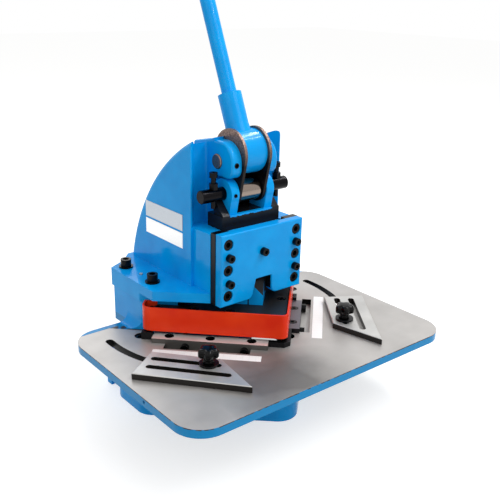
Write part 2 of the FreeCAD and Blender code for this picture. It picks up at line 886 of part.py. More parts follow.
def side_screw_hole(side, x, y, z):
    hole = screw_hole("eight", x, y, z, size("side_screw_length") + size("fit_gap"), "+Z")
    hole.Placement.Rotation = side_screw_turn(side)
    return place(hole, x, y, z, side_screw_turn(side))


def stop_screw_place(side):
    run = size("blade_end_" + side) + size("stop_block_gap") + size("stop_block_length") / 2
    x, y = arm_point(side, run, size("stop_block_width") / 2)
    return x, y, top + size("stop_block_height") - size("screw_five_depth")


def stop_screw_hole(side, sink=0.0):
    x, y, z = stop_screw_place(side)
    return screw_hole("five", x, y, z, size("stop_block_screw_length") + size("fit_gap"), "-Z", sink)


def make_stop_blocks():
    """Hard blocks on the table behind the lower blades."""
    blocks = []
    screws = []
    for side in SIDES:
        start = size("blade_end_" + side) + size("stop_block_gap")
        block = arm_box(side, start, start + size("stop_block_length"), as_size(0),
                        size("stop_block_width"), top, top + size("stop_block_height"))
        blocks.append(cut(block, stop_screw_hole(side, size("screw_five_depth"))))
        x, y, z = stop_screw_place(side)
        screws.append(cap_screw("five", x, y, z, size("stop_block_screw_length"), "-Z"))
    node("stop_blocks", group(*blocks))
    node("stop_block_screws", group(*screws))


def make_die():
    blade_top = top + size("blade_height")
    side_holes = [side_screw_hole(*spot) for spot in side_screw_places()]
    for side in SIDES:
        blade = arm_box(side, size("blade_start_" + side), size("blade_end_" + side), as_size(0),
                        size("blade_width"), seat_z, blade_top)
        wells = [screw_hole("eight", x, y, z, size("blade_screw_length"), "-Z", size("screw_eight_depth"))
                 for name, x, y, z, length in blade_screw_places() if name == side]
        cross = [side_screw_hole(*spot) for spot in side_screw_places() if spot[0] == side]
        node("lower_blade_" + side, cut(blade, *wells, *cross))
    block = pad("XY", vee_outline(as_size(0), -size("die_block_width"), size("die_block_end")),
                seat_z, top + size("die_block_height"))
    node("die_block", cut(block, *side_holes))
    node("die_corner", pad("XY", corner_block_outline(as_size(0)), seat_z, blade_top))
    node("lower_blade_screws", group(*[cap_screw("eight", x, y, z, length, "-Z")
                                       for name, x, y, z, length in blade_screw_places()]))
    level = []
    for side, x, y, z in side_screw_places():
        screw = cap_screw("eight", x, y, z, size("side_screw_length"), "+Z")
        level.append(place(screw, x, y, z, side_screw_turn(side)))
    node("blade_side_screws", group(*level))
    for side in SIDES:
        node("ruler_" + side, arm_box(side, size("ruler_start"), size("ruler_end"),
                                      size("ruler_near_reach"), size("ruler_far_reach"),
                                      top - size("ruler_thickness"), top))


def guard_screw_places():
    run = size("guard_end") - size("guard_thickness") - size("guard_tab") / 2
    for side in SIDES:
        for number in range(2):
            z = top + size("guard_screw_low_height") + size("guard_screw_pitch") * number
            yield run, z, side


def guard_screw(side, z, make, length, head_reach):
    run = size("guard_end") - size("guard_thickness") - size("guard_tab") / 2
    x, y = arm_point(side, run, head_reach)
    piece = make("five", x, y, z, length, "+Z")
    return place(piece, x, y, z, side_screw_turn(side))


def guard_face():
    return -size("column_face_reach") + size("guard_thickness")


def guard_apex(inset):
    """Front corner of the guard, where its two legs' faces cross."""
    left = size("guard_reach_left") - inset
    right = size("guard_reach_right") - inset
    return (right - left) * HALF_ROOT, corner_y - (right + left) * HALF_ROOT


def guard_screw_hole(side, z):
    length = size("guard_screw_length") + size("fit_gap")
    return guard_screw(side, z, screw_hole, length, guard_face())


def make_guard():
    thick = size("guard_thickness")
    end = size("guard_end")
    face = -size("column_face_reach")
    legs = {}
    for side in SIDES:
        reach = size("guard_reach_" + side)
        legs[side] = [arm_point(side, run, out) for run, out in (
            (end, reach), (end, face), (end - thick - size("guard_tab"), face),
            (end - thick - size("guard_tab"), face + thick), (end - thick, face + thick),
            (end - thick, reach - thick))]
    outline = [guard_apex(0)] + legs["right"] + [guard_apex(thick)] + legs["left"][::-1]
    bend = size("guard_bend_round")
    rounds = [(0, size("guard_nose_round")), (7, size("guard_nose_round") - thick),
              (1, bend), (13, bend), (6, bend - thick), (8, bend - thick)]
    strip = pad("XY", outline, top + size("guard_low_height"),
                top + size("guard_high_height"), rounds)
    holes = [guard_screw_hole(side, z) for run, z, side in guard_screw_places()]
    node("guard", cut(strip, *holes))
    node("guard_screws", group(*[guard_screw(side, z, cap_screw, size("guard_screw_length"), guard_face())
                                 for run, z, side in guard_screw_places()]))


# ---------------------------------------------------------------- upper frame

def frame_bolt_places():
    for side in SIDES.values():
        for name in ("rear", "front"):
            yield size("frame_bolt_side") * side, front + size("frame_bolt_%s_from_front" % name)


def frame_fastener_places():
    """Bolts and taper pins that pass from the flange into the column: x, y, top, length, radius."""
    for x, y in frame_bolt_places():
        z = flange_high + size("frame_washer_thickness")
        yield x, y, z, size("frame_bolt_length")
    for side in SIDES.values():
        yield (size("taper_pin_side") * side, front + size("taper_pin_from_front"),
               flange_high + size("taper_pin_proud"), -size("taper_pin_length"))


def z_hole(x, y, z, length):
    """Hole downward from z: a negative length marks a pin."""
    if length.value > 0:
        return screw_hole("twelve", x, y, z, length + size("fit_gap"), "-Z")
    return cylinder(x, y, z + length - size("fit_gap"), size("taper_pin_radius"),
                    size("fit_gap") - length)


def web_block(half, y0, wall, z0, z1):
    """Block whose back follows the web's curve, drawn in by wall."""
    radius = size("web_round_radius") - wall
    centre_y = front + size("web_round_from_front")
    centre_z = top + size("web_round_height")
    block = box(-half, half, y0, centre_y + radius, z0, z1)
    drum = cylinder(-half - OVERCUT, centre_y, centre_z, radius, half * 2 + OVERCUT * 2, "+X")
    return common(block, drum)


def flange_plan():
    half = size("column_half_width") + size("flange_overhang")
    grow = size("flange_overhang")
    nose = size("housing_half_width")
    right = [(nose, front + size("flange_nose_from_front")),
             (half - grow * 2, front + size("flange_front_from_front") - grow),
             (half, front + size("flange_front_from_front") + grow),
             (half, front + size("column_side_from_front") + grow)] + rear_corner(grow)
    left = [(-x, y) for x, y in reversed(right)]
    return right + left


def lug_outline():
    """Head plate seen from the side: its root inside the web, its nose round the main shaft."""
    nose = front + size("lug_nose_from_front")
    rear = front + size("lug_rear_from_front")
    low = top + size("web_floor_height")
    bottom = top + size("lug_bottom_height")
    high = top + size("lug_top_height")
    return [(web_y, low), (web_y, bottom), (nose, bottom), (nose, high),
            (front + size("lug_crown_from_front"), high), (rear, top + size("lug_rear_height")),
            (rear, low)]


def recess(side_wall):
    """Open pocket between a head plate and the web's side wall, whose front end is bevelled."""
    lug = size("lug_half_width")
    mouth = web_y - OVERCUT
    bevel = side_wall - size("recess_land")
    inner = size("web_half_width") - size("web_wall")
    rear = front + size("recess_rear_from_front")
    corner = size("recess_corner_round")
    plan = [(lug, mouth), (bevel + OVERCUT, mouth), (inner, web_y + bevel - inner), (inner, rear),
            (lug, rear)]
    return pad("XY", plan, top + size("housing_top_height"), top + size("web_top_height") + OVERCUT,
               [(3, corner), (4, corner)])


def clamp_screw_heights():
    return [top + size("clamp_screw_top_height") - size("clamp_screw_pitch") * n for n in range(3)]


def make_upper_frame():
    flange = pad("XY", flange_plan(), flange_low, flange_high)
    shoe = pad("XY", column_plan(size("flange_overhang")), top + size("column_height"), flange_low)
    web_top = top + size("web_top_height")
    half = size("web_half_width")
    web = web_block(half, web_y, as_size(0), flange_low, web_top)
    web = round_edges(web, size("web_corner_round"), is_web_top_edge)
    wide = size("housing_half_width")
    arm = box(size("ram_half_width") + play, wide, front + size("flange_nose_from_front"),
              web_y + MERGE, flange_low, top + size("housing_top_height"))
    lug = pad("YZ", lug_outline(), size("head_slot_half"), size("lug_half_width"),
              [(2, size("lug_bottom_round")), (3, size("lug_top_round"))])
    lug = round_edges(lug, size("lug_edge_round"), is_lug_edge)
    wall = size("web_wall")
    floor = top + size("web_floor_height")
    lower_cavity = web_block(half - wall, web_y + wall, wall, flange_low - OVERCUT * 4, floor)
    upper_cavity = web_block(half - wall, front + size("web_upper_front_from_front"), wall,
                             floor - OVERCUT, web_top - wall)
    slot = box(-size("head_slot_half"), size("head_slot_half"), web_y - OVERCUT * 3,
               front + size("head_slot_from_front"), top + size("head_slot_floor_height"),
               web_top + OVERCUT)
    channel_half = size("ram_half_width") + play
    channel = box(-channel_half, channel_half, front, web_y, flange_low - OVERCUT * 4,
                  top + size("head_slot_floor_height"))
    shaft = cylinder(-size("lug_half_width") - OVERCUT, main_y, main_z, size("main_shaft_radius"),
                     size("lug_half_width") * 2 + OVERCUT * 2, "+X")
    tools = [lower_cavity, upper_cavity, slot, channel, shaft]
    for x, y, z, length in frame_fastener_places():
        tools.append(z_hole(x, y, z, length))
    for side in SIDES.values():
        for z in clamp_screw_heights():
            tools.append(screw_hole("ten", size("clamp_screw_side") * side, clamp_seat_y(), z,
                                    size("clamp_screw_length") + size("fit_gap"), "+Y"))
    tools.append(screw_hole("eight", -size("lug_screw_side"), lug_screw_y(),
                            top + size("lug_screw_height"), main_y - lug_screw_y(), "+Y"))
    hollowed = cut(fuse(flange, shoe, web, *both_sides(arm)), *both_sides(recess(half)))
    node("upper_frame", cut(fuse(hollowed, *both_sides(lug)), *tools))


def lug_screw_y():
    return front + size("lug_nose_from_front") - size("set_screw_proud")


def is_web_top_edge(edge):
    box_of_edge = edge.BoundBox
    on_side = abs(abs(edge.CenterOfMass.x) - size("web_half_width").value) < NEAR
    level = edge.Curve.TypeId == "Part::GeomCircle" or (
        edge.Curve.TypeId == "Part::GeomLine" and abs(edge.CenterOfMass.z - top.value
                                                      - size("web_top_height").value) < NEAR)
    return on_side and level and box_of_edge.ZMax > top.value + size("web_wall").value


def is_lug_edge(edge):
    middle = edge.CenterOfMass
    on_side = abs(middle.x - size("lug_half_width").value) < NEAR and edge.BoundBox.XLength < NEAR
    return on_side and middle.z > (top + size("lug_bottom_height")).value + MERGE


def make_frame_fasteners():
    bolts = []
    washers = []
    for x, y in frame_bolt_places():
        z = flange_high + size("frame_washer_thickness")
        bolts.append(cap_screw("twelve", x, y, z, size("frame_bolt_length"), "-Z"))
        ring = cylinder(x, y, flange_high, size("frame_washer_radius"), size("frame_washer_thickness"))
        bore = cylinder(x, y, flange_high - OVERCUT, size("screw_twelve_thread") + size("fit_gap"),
                        size("frame_washer_thickness") + OVERCUT * 2)
        washers.append(cut(ring, bore))
    node("frame_bolts", group(*bolts))
    node("frame_washers", group(*washers))
    pins = []
    for side in SIDES.values():
        pin = doc.addObject("Part::Cone", "pin")
        low = flange_high + size("taper_pin_proud") - size("taper_pin_length")
        bind(pin, Radius1=size("taper_pin_radius") - size("fit_gap") * 2,
             Radius2=size("taper_pin_radius") - size("thread_clearance"), Height=size("taper_pin_length"))
        pins.append(place(pin, size("taper_pin_side") * side, front + size("taper_pin_from_front"), low))
    node("taper_pins", group(*pins))
    length = main_y - size("main_shaft_radius") - size("fit_gap") - lug_screw_y()
    node("lug_set_screw", grub_screw("eight", -size("lug_screw_side"), lug_screw_y(),
                                     top + size("lug_screw_height"), length, "+Y"))
    half = size("lug_half_width") + size("main_shaft_proud")
    node("main_shaft", chamfer_ends(
        cylinder(-half, main_y, main_z, size("main_shaft_radius") - size("shaft_clearance"), half * 2,
                 "+X"), size("shaft_end_chamfer"), is_circle))


def make_plates():
    side_x = -size("web_half_width")
    rear = front + size("name_plate_rear_from_front")
    near = front + size("name_plate_front_from_front")
    for name in ("name", "data"):
        node(name + "_plate", box(side_x - size("plate_proud"), side_x, near, rear,
                                  top + size(name + "_plate_low_height"),
                                  top + size(name + "_plate_high_height")))


# ---------------------------------------------------------------- front plate

def plate_front_y():
    return front + size("front_plate_from_front")


def plate_rear_y():
    return plate_front_y() + size("front_plate_thickness")


def clamp_seat_y():
    return plate_front_y() + size("clamp_screw_sink")


def push_screw_spots():
    for side in SIDES.values():
        for number in range(2):
            yield (size("push_screw_side") * side,
                   top + size("push_screw_top_height") - size("push_screw_pitch") * number)
    yield as_size(0), top + size("push_screw_centre_height")


def make_front_plate():
    half = size("front_plate_half_width")
    high = top + size("front_plate_top_height")
    notch = size("notch_half_width")
    notch_top = top + size("notch_top_height")
    blank = box(-half, half, plate_front_y(), plate_rear_y(), flange_low, high)
    opening = pad("XZ", [(-notch, flange_low), (-notch, flange_low - OVERCUT),
                         (notch, flange_low - OVERCUT), (notch, flange_low),
                         (size("notch_top_right"), notch_top), (-size("notch_top_left"), notch_top)],
                  -plate_rear_y() - OVERCUT, -plate_front_y() + OVERCUT)
    blank = round_edges(cut(blank, opening), size("notch_corner_round"), is_notch_corner)
    blank = chamfer_ends(blank, size("front_plate_edge"), is_plate_front_edge)
    wells = [screw_hole("ten", size("clamp_screw_side") * side, clamp_seat_y(), z, OVERCUT * 4, "+Y",
                        size("clamp_screw_sink") + OVERCUT)
             for side in SIDES.values() for z in clamp_screw_heights()]
    threads = [screw_hole("eight", x, plate_front_y() - OVERCUT, z, OVERCUT * 6, "+Y")
               for x, z in push_screw_spots()]
    node("front_plate", cut(blank, *wells, *threads))
    strip = box(size("ram_half_width") + play, size("spacer_outer_half"), plate_rear_y(),
                front + size("flange_nose_from_front"), flange_low, high)
    holes = [screw_hole("ten", size("clamp_screw_side"), clamp_seat_y(), z, OVERCUT * 8, "+Y")
             for z in clamp_screw_heights()]
    right = cut(strip, *holes)
    node("spacer_right", right)
    node("spacer_left", mirrored(right))
    node("plate_screws", group(*[cap_screw("ten", size("clamp_screw_side") * side, clamp_seat_y(), z,
                                           size("clamp_screw_length"), "+Y")
                                 for side in SIDES.values() for z in clamp_screw_heights()]))
    length = size("push_screw_length")
    node("push_screws", group(*[cap_screw("eight", x, plate_front_y(), z, length, "+Y")
                                for x, z in push_screw_spots()]))


def is_notch_corner(edge):
    bounds = edge.BoundBox
    across = bounds.YLength > bounds.DiagonalLength - NEAR
    at_side = abs(abs(bounds.XMax) - size("notch_half_width").value) < NEAR
    return across and at_side and abs(bounds.ZMin - flange_low.value) < NEAR


def is_plate_front_edge(edge):
    bounds = edge.BoundBox
    return bounds.YMax < plate_front_y().value + NEAR


# ---------------------------------------------------------------- ram and what it carries

def ram_front_y():
    return plate_rear_y() + play


def ram_rear_y():
    return web_y - play


def make_ram():
    half = size("ram_half_width")
    foot_z = top + size("ram_foot_height")
    body = box(-half, half, ram_front_y(), ram_rear_y(), flange_low - play * 2, top + size("ram_top_height"))
    block = box(-half, half, front + size("ram_block_front_from_front"), ram_rear_y(),
                top + size("ram_top_height"), top + size("ram_block_top_height"))
    apex = front + size("ram_foot_apex_from_front")
    rear = front + size("ram_foot_rear_from_front")
    wing = rear - apex
    foot = pad("XY", [(0, apex), (wing, rear), (-wing, rear)], foot_z, flange_low - play * 2)
    nose_half = size("ram_nose_half")
    nose_top = top + size("ram_nose_top_height")
    nose_plan = pad("XY", [(0, apex), (nose_half, apex + nose_half), (nose_half, ram_front_y()),
                           (-nose_half, ram_front_y()), (-nose_half, apex + nose_half)],
                    foot_z, nose_top)
    nose_side = pad("YZ", [(apex, foot_z), (ram_front_y(), foot_z), (ram_front_y(), nose_top),
                           (apex, top + size("ram_nose_shoulder_height"))], -nose_half, nose_half)
    nose = common(nose_plan, nose_side)
    ear_low = top + size("ram_block_top_height") - MERGE
    inner = size("ear_inner_half")
    outer = size("ear_outer_half")
    radius = size("ear_radius")
    round_top = cylinder(inner, ram_y, cross_z, radius, outer - inner, "+X")
    trim = box(inner, outer, ram_y - radius, ram_rear_y(), cross_z - radius, cross_z + radius)
    root = pad("YZ", [(front + size("ear_foot_from_front"), ear_low), (ram_rear_y(), ear_low),
                      (ram_rear_y(), cross_z), (ram_y - radius, cross_z)], inner, outer)
    ear = fuse(common(round_top, trim), root)
    shaft = cylinder(-half - OVERCUT, ram_y, cross_z, size("cross_shaft_radius"),
                     half * 2 + OVERCUT * 2, "+X")
    screw_x = (inner + outer) / -2
    screw_y = ram_y - radius - size("set_screw_proud")
    tools = [shaft, screw_hole("six", screw_x, screw_y, cross_z, radius, "+Y")]
    for side in SIDES.values():
        tools.append(screw_hole("eight", size("holder_screw_side") * side,
                                front + size("holder_screw_from_front"), foot_z,
                                size("holder_screw_length"), "+Z"))
    strap = pad("YZ", strap_outline(), size("strap_inner_half"), size("strap_outer_half"))
    node("ram", cut(fuse(body, block, foot, nose, *both_sides(ear), *both_sides(strap)), *tools))
    length = ram_y - size("cross_shaft_radius") - size("fit_gap") - screw_y
    node("ear_set_screw", grub_screw("six", screw_x, screw_y, cross_z, length, "+Y"))


def strap_outline():
    """Sloping bar from the block's front edge up to the cross shaft."""
    low_y = front + size("ram_block_front_from_front")
    low_z = top + size("ram_block_top_height")
    rise = size("strap_rise")
    back = size("strap_back")
    return [(low_y, low_z - back), (low_y, low_z), (low_y + rise, low_z + rise),
            (low_y + rise + back, low_z + rise - back), (low_y + back * 2, low_z - back)]


def make_cross_shaft():
    half = size("cross_shaft_half_length")
    rod = chamfer_ends(cylinder(-half, ram_y, cross_z, size("cross_shaft_radius") - size("shaft_clearance"),
                                half * 2, "+X"), size("shaft_end_chamfer"), is_circle)
    holes = []
    screws = []
    nuts = []
    head_z = cross_z + size("stop_head_rise")
    nut_z = cross_z + size("stop_nut_rise")
    flat_half = size("screw_eight_head") + size("stop_flat_margin")
    for side, sign in SIDES.items():
        x = size("stop_screw_side_" + side) * sign
        holes.append(screw_hole("eight", x, ram_y, head_z, size("stop_screw_length") + OVERCUT, "-Z"))
        holes.append(box(x - flat_half, x + flat_half, ram_y - size("cross_shaft_radius"),
                         ram_y + size("cross_shaft_radius"), nut_z, nut_z + OVERCUT))
        screws.append(cap_screw("eight", x, ram_y, head_z, size("stop_screw_length"), "-Z"))
        nut = hexagon(x, ram_y, nut_z, size("screw_eight_head") * 2, size("stop_nut_thickness"))
        nuts.append(cut(nut, cylinder(x, ram_y, nut_z - OVERCUT,
                                      size("screw_eight_thread") + size("thread_clearance"),
                                      size("stop_nut_thickness") + OVERCUT * 2)))
    node("cross_shaft", cut(rod, *holes))
    node("stop_screws", group(*screws))
    node("stop_nuts", group(*nuts))
    half = size("roller_half_length")
    drum = cylinder(-half, ram_y, cross_z, size("roller_radius"), half * 2, "+X")
    bore = cylinder(-half - OVERCUT, ram_y, cross_z, size("cross_shaft_radius"),
                    half * 2 + OVERCUT * 2, "+X")
    node("roller", chamfer_ends(cut(drum, bore), size("shaft_end_chamfer"), is_roller_rim))


def is_roller_rim(edge):
    return is_circle(edge) and edge.Curve.Radius > size("cross_shaft_radius").value + MERGE


def make_links():
    inner = size("link_inner_half")
    outer = size("link_outer_half")
    half = size("link_half_width")
    bore_y = main_y - size("eccentric_bore_shift")
    bore_z = main_z + size("ram_stroke") / 2
    head_radius = size("link_head_radius")
    head_z = bore_z + size("link_head_rise")
    ahead = size("link_front_side_angle")
    behind = size("link_rear_side_angle")
    shank = pad("YZ", [rim_point(ram_y, cross_z, -half, ahead), rim_point(ram_y, cross_z, half, behind),
                       rim_point(bore_y, head_z, head_radius, behind),
                       rim_point(bore_y, head_z, -head_radius, ahead)], inner, outer)
    head = cylinder(inner, bore_y, head_z, head_radius, outer - inner, "+X")
    foot = cylinder(inner, ram_y, cross_z, half, outer - inner, "+X")
    lower = cylinder(inner - OVERCUT, ram_y, cross_z, size("cross_shaft_radius"),
                     outer - inner + OVERCUT * 2, "+X")
    upper = cylinder(inner - OVERCUT, bore_y, bore_z, size("eccentric_radius") + size("eccentric_play"),
                     outer - inner + OVERCUT * 2, "+X")
    right = cut(fuse(shank, foot, head), lower, upper)
    node("link_right", right)
    node("link_left", mirrored(right))


def rim_point(y, z, radius, angle):
    """Point on a round, an angle below level: a negative radius is its front side."""
    drop = radius if radius.value > 0 else -radius
    return y + radius * cosine(angle), z - drop * sine(angle)


def punch_screw_runs(side):
    runs = [size("punch_screw_first") + size("punch_screw_pitch") * number for number in range(4)]
    return runs if side == "right" else [run + size("upper_blade_width") for run in runs]


def punch_screw_places():
    plate_top = top + size("ram_foot_height")
    for side in SIDES:
        for run in punch_screw_runs(side)[1:]:
            x, y = arm_point(side, run, -size("punch_screw_reach"))
            yield side, x, y, plate_top - size("screw_eight_depth")


def make_punch():
    gap = size("cutting_gap")
    plate_low = top + size("punch_plate_height")
    plate_top = top + size("ram_foot_height")
    end = size("punch_plate_end")
    inner = -size("punch_plate_width") - gap
    outline = [arm_point("right", end, -gap), arm_point("right", end, inner),
               arm_point("right", size("punch_plate_root"), inner)]
    plate = pad("XY", mirror_outline(vee_apex(-gap), outline), plate_low, plate_top)
    holder = []
    holder_screws = []
    for side in SIDES.values():
        x = size("holder_screw_side") * side
        y = front + size("holder_screw_from_front")
        seat = plate_low + size("screw_eight_depth")
        holder.append(screw_hole("eight", x, y, seat, OVERCUT * 4, "+Z", size("screw_eight_depth") * 2))
        holder_screws.append(cap_screw("eight", x, y, seat, size("holder_screw_length") - OVERCUT, "+Z"))
    spots = list(punch_screw_places())
    wells = [screw_hole("eight", x, y, z, OVERCUT * 4, "-Z", size("screw_eight_depth") + OVERCUT)
             for side, x, y, z in spots]
    node("punch_plate", cut(plate, *wells, *holder))
    node("holder_screws", group(*holder_screws))
    node("punch_screws", group(*[cap_screw("eight", x, y, z, size("punch_screw_length"), "-Z")
                                 for side, x, y, z in spots]))
    width = size("upper_blade_width")
    low = top + size("upper_blade_height")
    for side in SIDES:
        start = gap if side == "right" else width + gap + size("fit_gap")
        blade = arm_box(side, start, end, -width - gap, -gap, low, plate_low)
        threads = [screw_hole("eight", x, y, z, size("punch_screw_length") + gap, "-Z")
                   for name, x, y, z in spots if name == side]
        node("upper_blade_" + side, cut(blade, *threads))


# ---------------------------------------------------------------- lever

def lever_place(thing):
    place(thing, 0, main_y, main_z)
    thing.Placement = FreeCAD.Placement(FreeCAD.Vector(0, 0, 0),
                                        FreeCAD.Rotation(-X_AXIS, SIZES["lever_tilt"]))
    thing.setExpression("Placement.Rotation.Angle", "sizes.lever_tilt * 1 deg")
    return thing


def make_lever():
    half = size("hub_half_width")
    axis_y = -size("hub_shift")
    disc = cylinder(-half, axis_y, size("hub_rise"), size("hub_radius"), half * 2, "+X")
    neck = size("socket_radius")
    flare_low = size("flare_low")
    flare = doc.addObject("Part::Cone", "flare")
    bind(flare, Radius1=size("flare_radius"), Radius2=neck, Height=size("flare_high") - flare_low)
    place(flare, 0, axis_y, flare_low)
    socket = cylinder(0, axis_y, flare_low, neck, size("socket_top") - flare_low)
    angle = size("eccentric_angle")
    boss_y = -size("eccentricity") * cosine(angle)
    boss_z = size("eccentricity") * sine(angle)
    bosses = cylinder(-size("link_outer_half"), boss_y, boss_z, size("eccentric_radius"),
                      size("link_outer_half") * 2, "+X")
    bore = cylinder(-size("lug_half_width"), 0, 0, size("main_shaft_radius"),
                    size("lug_half_width") * 2, "+X")
    tube = cylinder(0, axis_y, size("socket_floor"), size("handle_radius") + size("handle_clearance"),
                    size("socket_top"))
    screw_x = neck + size("socket_screw_proud")
    screw_z = size("socket_screw_up")
    thread = screw_hole("eight", screw_x, axis_y, screw_z, screw_x, "-X")
    hub = cut(fuse(disc, flare, socket, bosses), bore, tube, thread)
    node("lever_hub", lever_place(hub))
    depth = screw_x - size("handle_radius") - size("handle_clearance")
    node("socket_set_screw", lever_place(group(grub_screw("eight", screw_x, axis_y, screw_z, depth,
                                                          "-X"))))
    cap = size("handle_cap")
    handle = chamfer_ends(cylinder(0, axis_y, size("socket_floor"), size("handle_radius"),
                                   size("handle_length") - size("socket_floor") - cap),
                          size("shaft_end_chamfer"), is_circle)
    node("handle_tube", lever_place(group(handle)))
    grip_low = size("handle_length") - size("grip_length")
    grip = cylinder(0, axis_y, grip_low, size("grip_radius"), size("grip_length"))
    grip_bore = cylinder(0, axis_y, grip_low - OVERCUT, size("handle_radius") + size("handle_clearance"),
                         size("grip_length") + OVERCUT - cap)
    node("handle_grip", lever_place(cut(round_edges(grip, size("grip_round"), is_circle), grip_bore)))


# ---------------------------------------------------------------- guides

def stud_spot(side):
    """Clamp stud on the arc slot's centre line."""
    angle = size("stud_angle_" + side)
    radius = size("arc_radius")
    return (radius * cosine(angle) * SIDES[side],
            front + size("arc_centre_from_front") - radius * sine(angle))


def guide_angle(side):
    """Direction of the guide's long edge, counterclockwise from +X."""
    if side == "right":
        return size("guide_turn_right") + EDGE_ANGLE
    return HALF_TURN - EDGE_ANGLE - size("guide_turn_left")


def guide_slot(start, from_inner):
    """Slot along the guide, in the guide's own frame."""
    half = size("guide_slot_width") / 2
    y = size("guide_width") - from_inner
    end = size("guide_slot_end")
    low = -OVERCUT
    height = size("guide_thickness") + OVERCUT * 2
    middle = box(start, end, y - half, y + half, as_size(low), height + low)
    return fuse(middle, cylinder(start, y, low, half, height), cylinder(end, y, low, half, height))


def guide_shape():
    """Guide in its own frame: long edge along +X from the origin, body toward +Y."""
    long_edge = size("guide_long_edge")
    width = size("guide_width")
    plate = pad("XY", [(0, 0), (long_edge, 0), (long_edge - size("guide_far_bevel"), width),
                       (size("guide_near_bevel"), width)], as_size(0), size("guide_thickness"))
    plate = chamfer_ends(plate, size("guide_edge"), is_guide_top_edge)
    inner = guide_slot(size("guide_slot_start_inner"), size("guide_slot_inner"))
    outer = guide_slot(size("guide_slot_start"), size("guide_slot_outer"))
    return cut(plate, inner, outer)


def is_guide_top_edge(edge):
    return edge.BoundBox.ZMin > size("guide_thickness").value - NEAR


def make_guides():
    for side in SIDES:
        x, y = stud_spot(side)
        angle = guide_angle(side)
        along = size("stud_along_guide")
        across = size("guide_width") - size("guide_slot_inner")
        if side == "right":
            plate = guide_shape()
            turn = angle
            start_x = x - along * cosine(turn) + across * sine(turn)
            start_y = y - along * sine(turn) - across * cosine(turn)
        else:
            plate = mirrored(guide_shape())
            turn = angle - HALF_TURN
            start_x = x + along * cosine(turn) - across * (-sine(turn))
            start_y = y + along * sine(turn) - across * cosine(turn)
        seated = place(plate, start_x, start_y, top + size("knob_gap"),
                       FreeCAD.Rotation(Z_AXIS, turn.value))
        node("guide_" + side, seated)
        make_clamp(side, x, y)


def make_clamp(side, x, y):
    guide_top = top + size("knob_gap") + size("guide_thickness")
    washer_z = guide_top + size("knob_gap")
    knob_z = washer_z + size("washer_thickness") + size("knob_gap")
    stud_low = top - size("table_thickness") - size("clamp_nut_thickness") - size("stud_below_nut")
    stud_high = knob_z + size("stud_top")
    radius = size("stud_radius")
    node("stud_" + side, chamfer_ends(cylinder(x, y, stud_low, radius, stud_high - stud_low),
                                      size("guide_edge"), is_circle))
    nut_z = top - size("table_thickness") - size("knob_gap") - size("clamp_nut_thickness")
    nut = cylinder(x, y, nut_z, size("clamp_nut_width") / 2, size("clamp_nut_thickness"))
    bore = cylinder(x, y, nut_z - OVERCUT, radius + size("thread_clearance") / 2,
                    size("clamp_nut_thickness") + OVERCUT * 2)
    node("clamp_nut_" + side, cut(nut, bore))
    washer = cylinder(x, y, washer_z, size("washer_radius"), size("washer_thickness"))
    hole = cylinder(x, y, washer_z - OVERCUT, radius + size("shaft_clearance"),
                    size("washer_thickness") + OVERCUT * 2)
    node("washer_" + side, cut(washer, hole))
    neck = cylinder(x, y, knob_z, size("knob_neck_radius"), size("knob_neck_height") + MERGE)
    head_z = knob_z + size("knob_neck_height")
    core = cylinder(x, y, head_z, size("knob_core_radius"), size("knob_height"))
    lobes = []
    reach = size("knob_radius") - size("knob_lobe_radius")
    for number in range(KNOB_LOBES):
        turn = math.radians(FULL_TURN / KNOB_LOBES * number + KNOB_FIRST_LOBE)
        lobes.append(cylinder(x + reach * math.cos(turn), y + reach * math.sin(turn), head_z,
                              size("knob_lobe_radius"), size("knob_height")))
    thread = cylinder(x, y, knob_z - OVERCUT, radius + size("shaft_clearance"),
                      size("stud_top") + OVERCUT + MERGE)
    node("knob_" + side, cut(fuse(neck, core, *lobes), thread))


# ---------------------------------------------------------------- build, check and write

make_base()
make_table()
make_table_screws()
make_die()
make_stop_blocks()
make_guard()
make_upper_frame()
make_frame_fasteners()
make_plates()
make_front_plate()
make_ram()
make_cross_shaft()
make_links()
make_punch()
make_lever()
make_guides()
doc.recompute()

faults = [item.Name for item in doc.Objects if {"Invalid", "Error"} & set(item.State)]
for name, thing in nodes.items():
    shape = thing.Shape
    if shape.isNull() or not shape.isValid():
        faults.append(name)
if faults:
    raise RuntimeError("failed objects: " + ", ".join(faults))

os.makedirs("parts", exist_ok=True)
for name, thing in nodes.items():
    thing.Shape.exportStep("parts/%s.step" % name)
    print("%-20s solids %2d  volume %10.0f mm3" % (name, len(thing.Shape.Solids), thing.Shape.Volume))
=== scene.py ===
"""Dresses the hand-lever corner notcher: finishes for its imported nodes, and the pieces modelled here."""
import json
import math

import bmesh
import bpy
from bpy.props import FloatProperty, FloatVectorProperty, IntProperty, PointerProperty, StringProperty
from mathutils import Matrix, Vector

